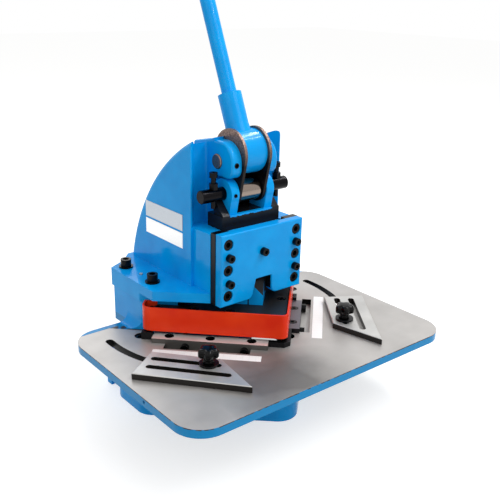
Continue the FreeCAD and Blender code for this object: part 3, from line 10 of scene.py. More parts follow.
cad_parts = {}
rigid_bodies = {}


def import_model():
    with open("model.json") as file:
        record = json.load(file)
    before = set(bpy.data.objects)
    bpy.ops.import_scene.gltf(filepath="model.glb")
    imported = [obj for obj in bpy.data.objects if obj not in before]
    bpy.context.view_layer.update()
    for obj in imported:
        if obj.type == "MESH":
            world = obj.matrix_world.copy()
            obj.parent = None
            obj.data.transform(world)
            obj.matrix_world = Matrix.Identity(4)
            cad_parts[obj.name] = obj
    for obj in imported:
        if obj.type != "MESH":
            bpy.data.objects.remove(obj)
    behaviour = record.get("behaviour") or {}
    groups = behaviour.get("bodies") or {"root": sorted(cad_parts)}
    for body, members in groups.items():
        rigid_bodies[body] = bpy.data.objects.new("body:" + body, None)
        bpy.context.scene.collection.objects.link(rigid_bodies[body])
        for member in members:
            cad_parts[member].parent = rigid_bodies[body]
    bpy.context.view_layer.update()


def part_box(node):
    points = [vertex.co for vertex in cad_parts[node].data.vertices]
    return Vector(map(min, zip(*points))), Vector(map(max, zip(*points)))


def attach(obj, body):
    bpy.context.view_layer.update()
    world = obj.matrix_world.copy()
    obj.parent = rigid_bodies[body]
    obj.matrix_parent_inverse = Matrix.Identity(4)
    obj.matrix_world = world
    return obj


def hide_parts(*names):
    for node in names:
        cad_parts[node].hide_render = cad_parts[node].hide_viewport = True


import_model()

bl_info = {
    "name": "Corner Notcher",
    "version": (1, 0, 0),
    "blender": (4, 5, 0),
    "location": "View3D > Sidebar > Notcher",
    "description": "Finishes and small parts of a hand-lever corner notcher",
    "category": "Object",
}

MM = 0.001


# ---------------------------------------------------------------- places taken from the frame

def low_corner(node):
    return Vector(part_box(node)[0])


def high_corner(node):
    return Vector(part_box(node)[1])


def middle(node):
    return (low_corner(node) + high_corner(node)) / 2


TABLE_TOP = high_corner("ruler_left").z
TABLE_FRONT = low_corner("table_casting").y
TABLE_HALF = high_corner("table_casting").x


# ---------------------------------------------------------------- settings a user would change

def colour_setting(name, text, default):
    return StringProperty(name=name, description=text, default=default)


def length_setting(name, text, default):
    return FloatProperty(name=name, description=text, default=default, unit="LENGTH", subtype="DISTANCE",
                         precision=5)


class NotcherFinish(bpy.types.PropertyGroup):
    enamel: colour_setting("Enamel", "Blue machine enamel, sRGB hex", "02A4F0")
    enamel_deep: colour_setting("Enamel shade", "Where the enamel lies thicker, sRGB hex", "0597E4")
    guard_red: colour_setting("Guard red", "Red enamel of the guard, sRGB hex", "F0401A")
    ground_iron: colour_setting("Ground iron", "Surface-ground table, sRGB hex", "BAB7B4")
    tool_steel: colour_setting("Tool steel", "Guides, sRGB hex", "C9C8C5")
    black_oxide: colour_setting("Black oxide", "Screws and nuts, sRGB hex", "141416")
    scorched: colour_setting("Mill steel", "Bare links and shaft, sRGB hex", "967C70")
    plate_metal: colour_setting("Name plate", "Bare aluminium plate, sRGB hex", "B9BFC6")
    plate_white: colour_setting("Ruler white", "Rulers, sRGB hex", "EDEFEE")
    plastic: colour_setting("Plastic", "Star knobs, sRGB hex", "060607")
    floor: colour_setting("Floor", "Studio floor, sRGB hex", "C9C9C8")
    edge_round: length_setting("Edge round", "Rounding seen on edges", 0.8 * MM)


class NotcherParts(bpy.types.PropertyGroup):
    grip_rim: length_setting("Grip rim", "Rounding of the grip's ends", 6.0 * MM)
    ring_depth: length_setting("Ring depth", "Depth of the grip's finger rings", 1.1 * MM)
    ring_count: IntProperty(name="Rings", description="Finger rings along the grip", default=11, min=3)
    knob_lobes: IntProperty(name="Knob lobes", description="Lobes of a star knob", default=5, min=3)
    knob_scallop: FloatProperty(name="Knob scallop", description="Share of the radius cut between lobes",
                                default=0.24, min=0.0, max=0.5, subtype="FACTOR")


class NotcherStage(bpy.types.PropertyGroup):
    camera_place: FloatVectorProperty(name="Camera place", description="Where the camera stands",
                                      default=(-0.70519, -0.94601, 0.65820), subtype="XYZ",
                                      unit="LENGTH", precision=5)
    azimuth: FloatProperty(name="Azimuth", description="Turn of the view from +Y toward +X",
                           default=math.radians(39.62), subtype="ANGLE")
    elevation: FloatProperty(name="Elevation", description="How far the view looks down",
                             default=math.radians(19.85), subtype="ANGLE")
    roll: FloatProperty(name="Roll", description="Tilt of the view",
                        default=math.radians(1.32), subtype="ANGLE")
    lens: FloatProperty(name="Lens", description="Focal length on a 36 mm sensor", default=52.44,
                        subtype="DISTANCE_CAMERA")
    world_level: FloatProperty(name="World light", description="Strength of the even light", default=0.62)
    key_power: FloatProperty(name="Key light", description="Power of the main lamp", default=30.0,
                             subtype="POWER", unit="POWER")


def finish_settings():
    return bpy.context.scene.notcher_finish


# ---------------------------------------------------------------- node helpers

# Sockets of a Mix node: factor, then the under and over colours and the blended colour that it gives.
FACTOR, UNDER, OVER, BLENDED = 0, 6, 7, 2
# The same node's two plain values.
UNDER_VALUE, OVER_VALUE = 2, 3
# Nearly all of a noise pattern lies between these values.
NOISE_SPAN = {"From Min": 0.3, "From Max": 0.7}


def linear(hex_text):
    """sRGB hex to linear RGBA."""
    channels = [int(hex_text[at:at + 2], 16) / 255 for at in (0, 2, 4)]
    curve = [c / 12.92 if c <= 0.04045 else ((c + 0.055) / 1.055) ** 2.4 for c in channels]
    return (*curve, 1.0)


def add_node(tree, kind, settings, output=0):
    """Adds one node and gives one of its outputs; settings holds properties, input values and links."""
    made = tree.nodes.new(kind)
    for name, value in settings.items():
        if isinstance(value, bpy.types.NodeSocket):
            tree.links.new(value, made.inputs[name])
        elif isinstance(name, int) or name in made.inputs:
            made.inputs[name].default_value = value
        else:
            setattr(made, name, value)
    return made.outputs[output] if made.outputs else None


def new_material(name):
    material = bpy.data.materials.new(name)
    material.use_nodes = True
    tree = material.node_tree
    tree.nodes.clear()
    place = add_node(tree, "ShaderNodeTexCoord", {}, "Object")
    return material, tree, place


def close_material(material, tree, settings):
    shader = add_node(tree, "ShaderNodeBsdfPrincipled", settings)
    add_node(tree, "ShaderNodeOutputMaterial", {"Surface": shader})
    return material


def lumps(tree, place, grain, detail=2.0, stretch=(1.0, 1.0, 1.0)):
    """A pattern whose lumps are about grain across, in metres, drawn out by stretch."""
    scale = [1 / (grain * by) for by in stretch]
    sized = add_node(tree, "ShaderNodeMapping", {"Scale": scale, "Vector": place})
    return add_node(tree, "ShaderNodeTexNoise", {"Scale": 1.0, "Detail": detail, "Vector": sized}, "Fac")


def grinding(tree, place):
    """Fine parallel scratches, drawn 0.5 mm apart so that they show."""
    return lumps(tree, place, 0.5 * MM, 2.0, (60.0, 1.0, 1.0))


def all_of(tree, *masks):
    """One where every mask is one."""
    joined = masks[0]
    for mask in masks[1:]:
        joined = add_node(tree, "ShaderNodeMath", {"operation": "MULTIPLY", 0: joined, 1: mask})
    return joined


def any_of(tree, *masks):
    """One where at least one mask is one."""
    joined = masks[0]
    for mask in masks[1:]:
        joined = add_node(tree, "ShaderNodeMath", {"operation": "MAXIMUM", 0: joined, 1: mask})
    return joined


def within(tree, place, low, high):
    """One inside the box between two corners, zero outside it; None leaves a side open."""
    tests = []
    for axis, least, most in zip("XYZ", low, high):
        for operation, limit in (("GREATER_THAN", least), ("LESS_THAN", most)):
            if limit is not None:
                along = add_node(tree, "ShaderNodeSeparateXYZ", {"Vector": place}, axis)
                tests.append(add_node(tree, "ShaderNodeMath", {"operation": operation, 0: along, 1: limit}))
    return all_of(tree, *tests)


def upright(tree):
    """One on walls and undersides, zero on faces that look up."""
    facing = add_node(tree, "ShaderNodeNewGeometry", {}, "Normal")
    upward = add_node(tree, "ShaderNodeSeparateXYZ", {"Vector": facing}, "Z")
    return add_node(tree, "ShaderNodeMath", {"operation": "LESS_THAN", 0: upward, 1: 0.5})


def rounded_bump(tree, height, strength, depth):
    """Bump over edges that look rounded."""
    edge = add_node(tree, "ShaderNodeBevel", {"samples": 4, "Radius": finish_settings().edge_round})
    return add_node(tree, "ShaderNodeBump", {"Strength": strength, "Distance": depth,
                                             "Height": height, "Normal": edge})


# ---------------------------------------------------------------- materials

def enamel_parts(tree, place, colour, shade):
    """Sprayed enamel over a filled casting: soft waves, orange peel and cloudy patches of a deeper shade."""
    cloud = lumps(tree, place, 45 * MM)
    deeper = add_node(tree, "ShaderNodeMapRange", {"Value": cloud, "From Min": 0.35, "From Max": 0.7})
    tint = add_node(tree, "ShaderNodeMix", {"data_type": "RGBA", FACTOR: deeper, UNDER: linear(colour),
                                            OVER: linear(shade)}, BLENDED)
    wave_height, peel_height = 1.2, 0.2
    peel = add_node(tree, "ShaderNodeMath", {"operation": "MULTIPLY", 0: lumps(tree, place, 1.6 * MM, 1.0),
                                             1: peel_height})
    wave = add_node(tree, "ShaderNodeMath", {"operation": "MULTIPLY", 0: lumps(tree, place, 14 * MM, 1.0),
                                             1: wave_height})
    height = add_node(tree, "ShaderNodeMath", {"operation": "ADD", 0: wave, 1: peel})
    rough = add_node(tree, "ShaderNodeMapRange", {"Value": cloud, **NOISE_SPAN,
                                                  "To Min": 0.15, "To Max": 0.24})
    return tint, height, rough


def machine_enamel():
    """Glossy sky-blue enamel with soft waves; the head's slot and the plate's notch are painted near-black as
    shade.
    """
    finish = finish_settings()
    material, tree, place = new_material("blue machine enamel")
    tint, height, rough = enamel_parts(tree, place, finish.enamel, finish.enamel_deep)
    slot_half = 27.4 * MM
    slot_front, slot_back = TABLE_FRONT + 246 * MM, TABLE_FRONT + 276 * MM
    slot_low, slot_high = TABLE_TOP + 150 * MM, TABLE_TOP + 250 * MM
    slot = within(tree, place, (-slot_half, slot_front, slot_low), (slot_half, slot_back, slot_high))
    notch_half = 20.5 * MM
    notch_front = low_corner("front_plate").y + 2.5 * MM
    notch_back = high_corner("front_plate").y + 0.1 * MM
    notch_top = TABLE_TOP + 97.1 * MM
    notch = within(tree, place, (-notch_half, notch_front, None), (notch_half, notch_back, notch_top))
    # Painted shade: the slot behind the roller and the inside of the notch are coloured near-black.
    tint = add_node(tree, "ShaderNodeMix", {"data_type": "RGBA", FACTOR: any_of(tree, slot, notch),
                                            UNDER: tint, OVER: linear("101216")}, BLENDED)
    normal = rounded_bump(tree, height, 0.3, 0.5 * MM)
    return close_material(material, tree, {"Specular IOR Level": 0.06, "IOR": 1.5, "Coat Weight": 0.18,
                                           "Coat Roughness": 0.05, "Base Color": tint, "Roughness": rough,
                                           "Normal": normal})


def guard_enamel():
    """Signal-red enamel, flatter than the blue, on bent sheet."""
    material, tree, place = new_material("red guard enamel")
    tint, height, rough = enamel_parts(tree, place, finish_settings().guard_red, "E22E12")
    normal = rounded_bump(tree, height, 0.25, 0.4 * MM)
    return close_material(material, tree, {"IOR": 1.5, "Specular IOR Level": 0.15, "Base Color": tint,
                                           "Roughness": rough, "Normal": normal})


def ground_steel(name, colour, rough_low, rough_high, sides=None, metallic=1.0):
    """Surface-ground steel: fine lines, faint cloudy stains; a side colour, when given, darkens walls and
    undersides as painted shade.
    """
    material, tree, place = new_material(name)
    lines = grinding(tree, place)
    cloud = lumps(tree, place, 60 * MM, 3.0)
    base = linear(colour)
    stain_shade = 0.72
    stained = tuple(c * stain_shade for c in base[:3]) + (1.0,)
    stains = add_node(tree, "ShaderNodeMapRange", {"Value": cloud, "From Min": 0.3, "From Max": 0.75})
    tint = add_node(tree, "ShaderNodeMix", {"data_type": "RGBA", FACTOR: stains, UNDER: base,
                                            OVER: stained}, BLENDED)
    # Painted shade: walls and undersides take the darker side colour.
    if sides is not None:
        tint = add_node(tree, "ShaderNodeMix", {"data_type": "RGBA", FACTOR: upright(tree), UNDER: tint,
                                                OVER: linear(sides)}, BLENDED)
    rough = add_node(tree, "ShaderNodeMapRange", {"Value": lines, **NOISE_SPAN,
                                                  "To Min": rough_low, "To Max": rough_high})
    normal = rounded_bump(tree, lines, 0.12, 0.2 * MM)
    return close_material(material, tree, {"Metallic": metallic, "Base Color": tint, "Roughness": rough,
                                           "Normal": normal})


def ground_iron(tree, place):
    """Ground grey iron with cloudy stains, and a painted dark reflection that darkens it near the front of
    the table.
    """
    cloud = lumps(tree, place, 80 * MM, 3.0)
    stains = add_node(tree, "ShaderNodeMapRange", {"Value": cloud, "From Min": 0.3, "From Max": 0.75})
    iron = add_node(tree, "ShaderNodeMix", {"data_type": "RGBA", FACTOR: stains, OVER: linear("A5A29F"),
                                            UNDER: linear(finish_settings().ground_iron)}, BLENDED)
    # Painted reflection: a dark cloudy patch stands for the machine mirrored in the table's front.
    reflection_centre = (-70 * MM, TABLE_FRONT + 48 * MM, TABLE_TOP)
    reflection_core, reflection_end, reflection_wander, reflection_strength = 35 * MM, 125 * MM, 150 * MM, 0.72
    apart = add_node(tree, "ShaderNodeVectorMath", {"operation": "DISTANCE", 0: place, 1: reflection_centre}, "Value")
    centred = add_node(tree, "ShaderNodeMath", {"operation": "SUBTRACT", 0: cloud, 1: 0.5})
    wander = add_node(tree, "ShaderNodeMath", {"operation": "MULTIPLY", 0: centred, 1: reflection_wander})
    reach = add_node(tree, "ShaderNodeMath", {"operation": "ADD", 0: apart, 1: wander})
    painted_reflection = add_node(tree, "ShaderNodeMapRange", {"Value": reach, "From Min": reflection_core, "From Max": reflection_end,
                                                 "To Min": reflection_strength, "To Max": 0.0})
    return add_node(tree, "ShaderNodeMix", {"data_type": "RGBA", FACTOR: painted_reflection, UNDER: iron,
                                            OVER: linear("454341")}, BLENDED)


def table_finish():
    """Iron casting: ground on top and in the machined pockets, enamelled on its edges and its rear strip;
    painted shade darkens its pocket walls and the enamel below its top face.
    """
    finish = finish_settings()
    material, tree, place = new_material("ground and enamelled cast iron")
    tint, height, rough = enamel_parts(tree, place, finish.enamel, finish.enamel_deep)
    lines = grinding(tree, place)
    flush = 0.05 * MM
    strip_front = TABLE_FRONT + 338 * MM
    column_reach = TABLE_FRONT + 147 * MM

    # The column stands on a painted area that widens backwards at 45 degrees.
    across = add_node(tree, "ShaderNodeSeparateXYZ", {"Vector": place}, "X")
    back = add_node(tree, "ShaderNodeSeparateXYZ", {"Vector": place}, "Y")
    wide = add_node(tree, "ShaderNodeMath", {"operation": "ABSOLUTE", 0: across})
    run_back = add_node(tree, "ShaderNodeMath", {"operation": "SUBTRACT", 0: back, 1: wide})
    before_column = add_node(tree, "ShaderNodeMath", {"operation": "LESS_THAN", 0: run_back,
                                                      1: column_reach})
    top_face = within(tree, place, (None, None, TABLE_TOP - flush), (None, strip_front, TABLE_TOP + flush))
    inset_x, inset_y = TABLE_HALF - 25 * MM, TABLE_FRONT + 30 * MM
    pocket_floor = TABLE_TOP - 26 * MM
    pocket = within(tree, place, (-inset_x, inset_y, pocket_floor), (inset_x, strip_front, TABLE_TOP + flush))
    pocket = all_of(tree, pocket, before_column)
    machined = any_of(tree, all_of(tree, top_face, before_column), pocket)
    # Painted shade: the pocket walls are coloured near-black.
    shaded_wall = all_of(tree, pocket, upright(tree))

    # The rim's paint is chipped in patches just under the ground face.
    rim_depth = 1.6 * MM
    rim = within(tree, place, (None, None, TABLE_TOP - rim_depth), (None, strip_front, TABLE_TOP + flush))
    painted = add_node(tree, "ShaderNodeMath", {"operation": "SUBTRACT", 0: 1.0, 1: machined})
    chips = add_node(tree, "ShaderNodeMapRange", {"Value": lumps(tree, place, 9 * MM, 3.0),
                                                  "From Min": 0.36, "From Max": 0.5})
    rim = all_of(tree, rim, painted, chips)

    # Up to the top face the enamel is painted a deeper blue as shade than on the column above it.
    edge = within(tree, place, (None, None, None), (None, None, TABLE_TOP + 0.1 * MM))
    colour = tint
    for mask, coat in ((edge, linear("0A86C2")), (machined, ground_iron(tree, place)),
                       (shaded_wall, linear("141313")), (rim, linear("3B3531"))):
        colour = add_node(tree, "ShaderNodeMix", {"data_type": "RGBA", FACTOR: mask, UNDER: colour,
                                                  OVER: coat}, BLENDED)
    ground_rough = add_node(tree, "ShaderNodeMapRange", {"Value": lines, **NOISE_SPAN,
                                                         "To Min": 0.36, "To Max": 0.5})
    total_rough = add_node(tree, "ShaderNodeMix", {"data_type": "FLOAT", FACTOR: machined,
                                                   UNDER_VALUE: rough, OVER_VALUE: ground_rough})
    line_height = 0.12
    ground_height = add_node(tree, "ShaderNodeMath", {"operation": "MULTIPLY", 0: lines, 1: line_height})
    total_height = add_node(tree, "ShaderNodeMix", {"data_type": "FLOAT", FACTOR: machined,
                                                    UNDER_VALUE: height, OVER_VALUE: ground_height})
    normal = rounded_bump(tree, total_height, 0.35, 0.5 * MM)
    # Stained and oiled iron is less of a mirror than bare metal.
    sheen = 0.55
    metallic = add_node(tree, "ShaderNodeMath", {"operation": "MULTIPLY", 0: machined, 1: sheen})
    return close_material(material, tree, {"IOR": 1.5, "Specular IOR Level": 0.15, "Base Color": colour,
                                           "Metallic": metallic, "Roughness": total_rough,
                                           "Normal": normal})


def ram_finish():
    """Enamelled ram whose top block and straps are blackened, with enamel left in streaks on the block; the
    same black is painted shade between the ears, on the nose's sloping top and on the face seen through the
    plate's notch.
    """
    finish = finish_settings()
    material, tree, place = new_material("enamelled and blackened steel")
    tint, height, rough = enamel_parts(tree, place, finish.enamel, finish.enamel_deep)
    across = add_node(tree, "ShaderNodeSeparateXYZ", {"Vector": place}, "X")
    back = add_node(tree, "ShaderNodeSeparateXYZ", {"Vector": place}, "Y")
    rise = add_node(tree, "ShaderNodeSeparateXYZ", {"Vector": place}, "Z")
    block_low, block_high = TABLE_TOP + 176.2 * MM, TABLE_TOP + 199.2 * MM
    streak = 5.5 * MM
    margin, slope_margin = 0.5 * MM, 0.4 * MM

    # The block's blackening ends in a ragged line under its top.
    ragged = add_node(tree, "ShaderNodeMath", {"operation": "MULTIPLY", 0: lumps(tree, place, 5 * MM, 3.0),
                                               1: 6 * MM})
    lowered = add_node(tree, "ShaderNodeMath", {"operation": "SUBTRACT", 0: rise, 1: ragged})
    under_line = add_node(tree, "ShaderNodeMath", {"operation": "LESS_THAN", 0: lowered,
                                                   1: block_high - streak})
    block = all_of(tree, within(tree, place, (None, None, block_low), (None, None, None)), under_line)
    block_front = TABLE_FRONT + 209 * MM
    ear_inner = 27.4 * MM
    # Painted shade: the block's top between the ears is coloured black.
    between_ears = within(tree, place, (-ear_inner, block_front + 7 * MM, block_low),
                          (ear_inner, None, block_high + margin))

    # The nose's sloping top, in front of the plate, and the face seen through the plate's notch are painted
    # black as shade.
    plate_back = high_corner("front_plate").y
    nose_front, nose_low, nose_high = TABLE_FRONT + 175.5 * MM, TABLE_TOP + 66.5 * MM, TABLE_TOP + 90 * MM
    slope = (nose_high - nose_low) / (plate_back - nose_front)
    climb = add_node(tree, "ShaderNodeMath", {"operation": "MULTIPLY", 0: back, 1: slope})
    levelled = add_node(tree, "ShaderNodeMath", {"operation": "SUBTRACT", 0: rise, 1: climb})
    on_slope = add_node(tree, "ShaderNodeMath", {"operation": "GREATER_THAN", 0: levelled,
                                                 1: nose_low - slope * nose_front - slope_margin})
    nose_top = all_of(tree, on_slope, within(tree, place, (None, None, None),
                                             (None, plate_back + margin, None)))
    # Painted shade: the face behind the plate, seen through its notch, is coloured black.
    notch_shade_top = TABLE_TOP + 100 * MM
    notch_shade_face = within(tree, place, (None, plate_back - margin, None),
                          (None, plate_back + 1 * MM, notch_shade_top))

    # The straps lie outside the ears and reach just past the cross shaft.
    strap_inner = 42.85 * MM
    strap_top = middle("cross_shaft").z + 8 * MM
    wide = add_node(tree, "ShaderNodeMath", {"operation": "ABSOLUTE", 0: across})
    outside_ears = add_node(tree, "ShaderNodeMath", {"operation": "GREATER_THAN", 0: wide, 1: strap_inner})
    straps = all_of(tree, outside_ears, within(tree, place, (None, None, block_low),
                                               (None, None, strap_top)))
    # Real blackening on the block and straps, and painted shade in the other places.
    blackened_and_shade = any_of(tree, block, between_ears, nose_top, notch_shade_face, straps)
    colour = add_node(tree, "ShaderNodeMix", {"data_type": "RGBA", FACTOR: blackened_and_shade, UNDER: tint,
                                              OVER: linear("17191D")}, BLENDED)
    normal = rounded_bump(tree, height, 0.35, 0.5 * MM)
    return close_material(material, tree, {"IOR": 1.5, "Specular IOR Level": 0.12, "Base Color": colour,
                                           "Roughness": rough, "Normal": normal})


def plain_metal(name, colour, roughness, grain=1.2, metallic=1.0, depth=0.08, darkest=0.7):
    """Metal with a fine even grain; grain and depth in millimetres, darkest is the grain's deepest shade."""
    material, tree, place = new_material(name)
    speck = lumps(tree, place, grain * MM)
    base = linear(colour)
    shade = tuple(c * darkest for c in base[:3]) + (1.0,)
    specks = add_node(tree, "ShaderNodeMapRange", {"Value": speck, "From Min": 0.35, "From Max": 0.7})
    tint = add_node(tree, "ShaderNodeMix", {"data_type": "RGBA", FACTOR: specks, UNDER: base,
                                            OVER: shade}, BLENDED)
    rough = add_node(tree, "ShaderNodeMapRange", {"Value": speck, **NOISE_SPAN,
                                                  "To Min": roughness * 0.85, "To Max": roughness * 1.2})
    normal = rounded_bump(tree, speck, 0.2, depth * MM)
    return close_material(material, tree, {"Metallic": metallic, "Base Color": tint, "Roughness": rough,
                                           "Normal": normal})


def link_finish():
    """Flame-cut plate: brown scale on the rings, turning black towards the cross shaft as painted shade."""
    material, tree, place = new_material("flame-cut steel plate")
    speck = lumps(tree, place, 2.5 * MM)
    specks = add_node(tree, "ShaderNodeMapRange", {"Value": speck, "From Min": 0.35, "From Max": 0.7})
    scale = add_node(tree, "ShaderNodeMix", {"data_type": "RGBA", FACTOR: specks, OVER: linear("5B4A42"),
                                             UNDER: linear(finish_settings().scorched)}, BLENDED)
    rise = add_node(tree, "ShaderNodeSeparateXYZ", {"Vector": place}, "Z")
    shaft = middle("main_shaft").z
    # Painted shade: below the main shaft the links darken to near-black.
    above_shade = add_node(tree, "ShaderNodeMapRange", {"Value": rise, "From Min": shaft - 4 * MM,
                                                "From Max": shaft + 22 * MM})
    colour = add_node(tree, "ShaderNodeMix", {"data_type": "RGBA", FACTOR: above_shade, UNDER: linear("1D1918"),
                                              OVER: scale}, BLENDED)
    rough = add_node(tree, "ShaderNodeMapRange", {"Value": speck, **NOISE_SPAN,
                                                  "To Min": 0.36, "To Max": 0.5})
    normal = rounded_bump(tree, speck, 0.2, 0.08 * MM)
    return close_material(material, tree, {"Metallic": 0.8, "Base Color": colour, "Roughness": rough,
                                           "Normal": normal})


def moulded(name, colour, roughness, grain=0.6, shine=0.5):
    """Moulded plastic or rubber: an even dark body with a fine skin; grain in millimetres."""
    material, tree, place = new_material(name)
    speck = lumps(tree, place, grain * MM)
    base = linear(colour)
    light = tuple(min(1.0, c * 1.2 + 0.001) for c in base[:3]) + (1.0,)
    specks = add_node(tree, "ShaderNodeMapRange", {"Value": speck, "From Min": 0.4, "From Max": 0.8})
    tint = add_node(tree, "ShaderNodeMix", {"data_type": "RGBA", FACTOR: specks, UNDER: base,
                                            OVER: light}, BLENDED)
    normal = rounded_bump(tree, speck, 0.25, 0.1 * MM)
    rough = add_node(tree, "ShaderNodeMapRange", {"Value": speck, **NOISE_SPAN,
                                                  "To Min": roughness, "To Max": roughness + 0.06})
    return close_material(material, tree, {"IOR": 1.49, "Specular IOR Level": shine, "Base Color": tint,
                                           "Roughness": rough, "Normal": normal})


def scale_finish(side):
    """White enamelled rule with fine worn marks every 10 mm."""
    material, tree, place = new_material("printed white rule " + side)
    turn = math.radians(-45 if side == "right" else -135)
    local = add_node(tree, "ShaderNodeMapping", {"Rotation": (0.0, 0.0, turn), "Vector": place})
    along = add_node(tree, "ShaderNodeSeparateXYZ", {"Vector": local}, "X")
    step = add_node(tree, "ShaderNodeMath", {"operation": "PINGPONG", 0: along, 1: 5 * MM})
    mark = add_node(tree, "ShaderNodeMath", {"operation": "LESS_THAN", 0: step, 1: 0.2 * MM})
    colour = add_node(tree, "ShaderNodeMix", {"data_type": "RGBA", FACTOR: mark, OVER: linear("E0E2E2"),
                                              UNDER: linear(finish_settings().plate_white)}, BLENDED)
    rough = add_node(tree, "ShaderNodeMapRange", {"Value": lumps(tree, place, 3 * MM), **NOISE_SPAN,
                                                  "To Min": 0.3, "To Max": 0.42})
    return close_material(material, tree, {"IOR": 1.5, "Base Color": colour, "Roughness": rough})


# ---------------------------------------------------------------- objects

# Edges that turn more than this stay crisp on the pieces modelled here.
SHARP_EDGE = math.radians(35)
KNOB_STEPS = 120
GRIP_STEPS = 64


def node_object(name):
    return next(item for item in bpy.data.objects if item.name == name)


def dress(names, material):
    for name in names:
        thing = node_object(name)
        thing.data.materials.clear()
        thing.data.materials.append(material)


def finish_piece(name, shape, body, material, replaced):
    """Turns a bmesh into a piece that rides on a body and stands for CAD nodes."""
    bmesh.ops.recalc_face_normals(shape, faces=shape.faces)
    mesh = bpy.data.meshes.new(name)
    shape.to_mesh(mesh)
    shape.free()
    piece = bpy.data.objects.new(name, mesh)
    bpy.context.scene.collection.objects.link(piece)
    mesh.materials.append(material)
    for face in mesh.polygons:
        face.use_smooth = True
    mesh.set_sharp_from_angle(angle=SHARP_EDGE)
    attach(piece, body)
    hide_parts(*replaced)


def lathe(profile, steps):
    """Spins a profile of (radius, height) about Z into a closed shell."""
    shape = bmesh.new()
    corners = [shape.verts.new((radius, 0.0, height)) for radius, height in profile]
    sides = [shape.edges.new(pair) for pair in zip(corners, corners[1:])]
    bmesh.ops.spin(shape, geom=corners + sides, axis=(0.0, 0.0, 1.0), cent=(0.0, 0.0, 0.0),
                   angle=2 * math.pi, steps=steps, use_merge=True)
    touching = 0.01 * MM
    bmesh.ops.remove_doubles(shape, verts=shape.verts, dist=touching)
    return shape


def quarter(radius, height, size, start, steps=6):
    """Points of a rounded corner about (radius, height), turning a quarter from start degrees."""
    turns = [math.radians(start - 90 * step / steps) for step in range(steps + 1)]
    return [(radius + size * math.cos(turn), height + size * math.sin(turn)) for turn in turns]


def grip_profile(half, radius, bore, cap):
    """A grip with rounded ends, finger rings along it and a blind bore."""
    settings = bpy.context.scene.notcher_parts
    rim = settings.grip_rim
    depth = settings.ring_depth
    profile = [(0.0, half - cap), (bore, half - cap), (bore, -half), (radius - rim, -half)]
    profile += list(reversed(quarter(radius - rim, rim - half, rim, 0.0)))[1:]
    count = settings.ring_count
    pitch = (2 * half - 4 * rim) / count
    for number in range(count):
        low = 2 * rim - half + number * pitch
        # Share of the pitch, and share of the ring's depth.
        for share, inward in ((0.0, 0.0), (0.12, 0.55), (0.3, 1.0), (0.48, 0.55), (0.6, 0.0)):
            profile.append((radius - depth * inward, low + share * pitch))
    profile += [(radius, half - 2 * rim)] + quarter(radius - rim, half - rim, rim, 90.0)[::-1]
    return profile + [(0.0, half)]


def make_knob(side, material):
    """A star knob: waisted neck with a collar, and a scalloped, domed head."""
    settings = bpy.context.scene.notcher_parts
    node = "knob_" + side
    low, high = low_corner(node), high_corner(node)
    reach = (high.x - low.x) / 2
    tall = high.z - low.z
    stud_high = high_corner("stud_" + side).z - low.z
    bore = (high_corner("stud_" + side).x - low_corner("stud_" + side).x) / 2 + 0.2 * MM
    neck = 9.0 * MM
    profile = [(0.0, stud_high + 0.5 * MM), (bore, stud_high + 0.5 * MM), (bore, 0.0),
               (neck - 0.6 * MM, 0.0), (neck, 0.6 * MM), (neck, 2.6 * MM), (neck - 1.2 * MM, 3.4 * MM),
               (neck - 1.6 * MM, 5.5 * MM), (neck - 0.8 * MM, 7.6 * MM), (neck + 1.5 * MM, 8.8 * MM)]
    # The head: share of its radius, and height in millimetres.
    for share, height in ((0.82, 9.1), (0.95, 10.0), (1.0, 11.8), (1.0, 15.0), (1.0, 18.2), (0.96, 20.6),
                          (0.86, 22.3), (0.7, 23.3), (0.45, 23.8), (0.2, 24.0), (0.0, 24.0)):
        profile.append((reach * share, min(height * MM, tall)))
    shape = lathe(profile, KNOB_STEPS)

    # The hollows are cut into the head alone and run out towards its middle.
    head_low = 8.9 * MM
    core_share, fade_share = 0.3, 0.5
    first_lobe = math.radians(18)
    lobe_width = 1.4
    for corner in shape.verts:
        away = math.hypot(corner.co.x, corner.co.y)
        if corner.co.z < head_low or away < core_share * reach:
            continue
        turn = math.atan2(corner.co.y, corner.co.x) - first_lobe
        hollow = (0.5 - 0.5 * math.cos(settings.knob_lobes * turn)) ** lobe_width
        depth = settings.knob_scallop * min(1.0, (away / reach - core_share) / fade_share)
        corner.co.x *= 1 - depth * hollow
        corner.co.y *= 1 - depth * hollow
    centre = middle(node)
    bmesh.ops.translate(shape, verts=shape.verts, vec=(centre.x, centre.y, low.z))
    finish_piece("star_knob_" + side, shape, "knob_" + side, material, [node])


def make_grip(material):
    """The ribbed grip, placed along the handle."""
    low, high = low_corner("handle_grip"), high_corner("handle_grip")
    along = (middle("handle_grip") - middle("handle_tube")).normalized()
    radius = (high.x - low.x) / 2
    rim = bpy.context.scene.notcher_parts.grip_rim
    half = rim + ((high.z - low.z) / 2 - rim - (radius - rim) * abs(along.y)) / along.z
    bore = (high_corner("handle_tube").x - low_corner("handle_tube").x) / 2 + 0.1 * MM
    cap = 4.0 * MM
    shape = lathe(grip_profile(half, radius, bore, cap), GRIP_STEPS)
    turn = Vector((0.0, 0.0, 1.0)).rotation_difference(along).to_matrix().to_4x4()
    bmesh.ops.transform(shape, matrix=Matrix.Translation((low + high) / 2) @ turn, verts=shape.verts)
    finish_piece("ribbed_grip", shape, "lever", material, ["handle_grip"])


# ---------------------------------------------------------------- operators

class NOTCHER_OT_castings(bpy.types.Operator):
    """Enamel on the base, the upper frame and the lever; ground iron on the table"""
    bl_idname = "notcher.castings"
    bl_label = "Castings"

    def execute(self, context):
        enamel = machine_enamel()
        dress(["base", "upper_frame", "front_plate", "lever_hub", "handle_tube"], enamel)
        dress(["table_casting"], table_finish())
        dress(["ram"], ram_finish())
        return {"FINISHED"}


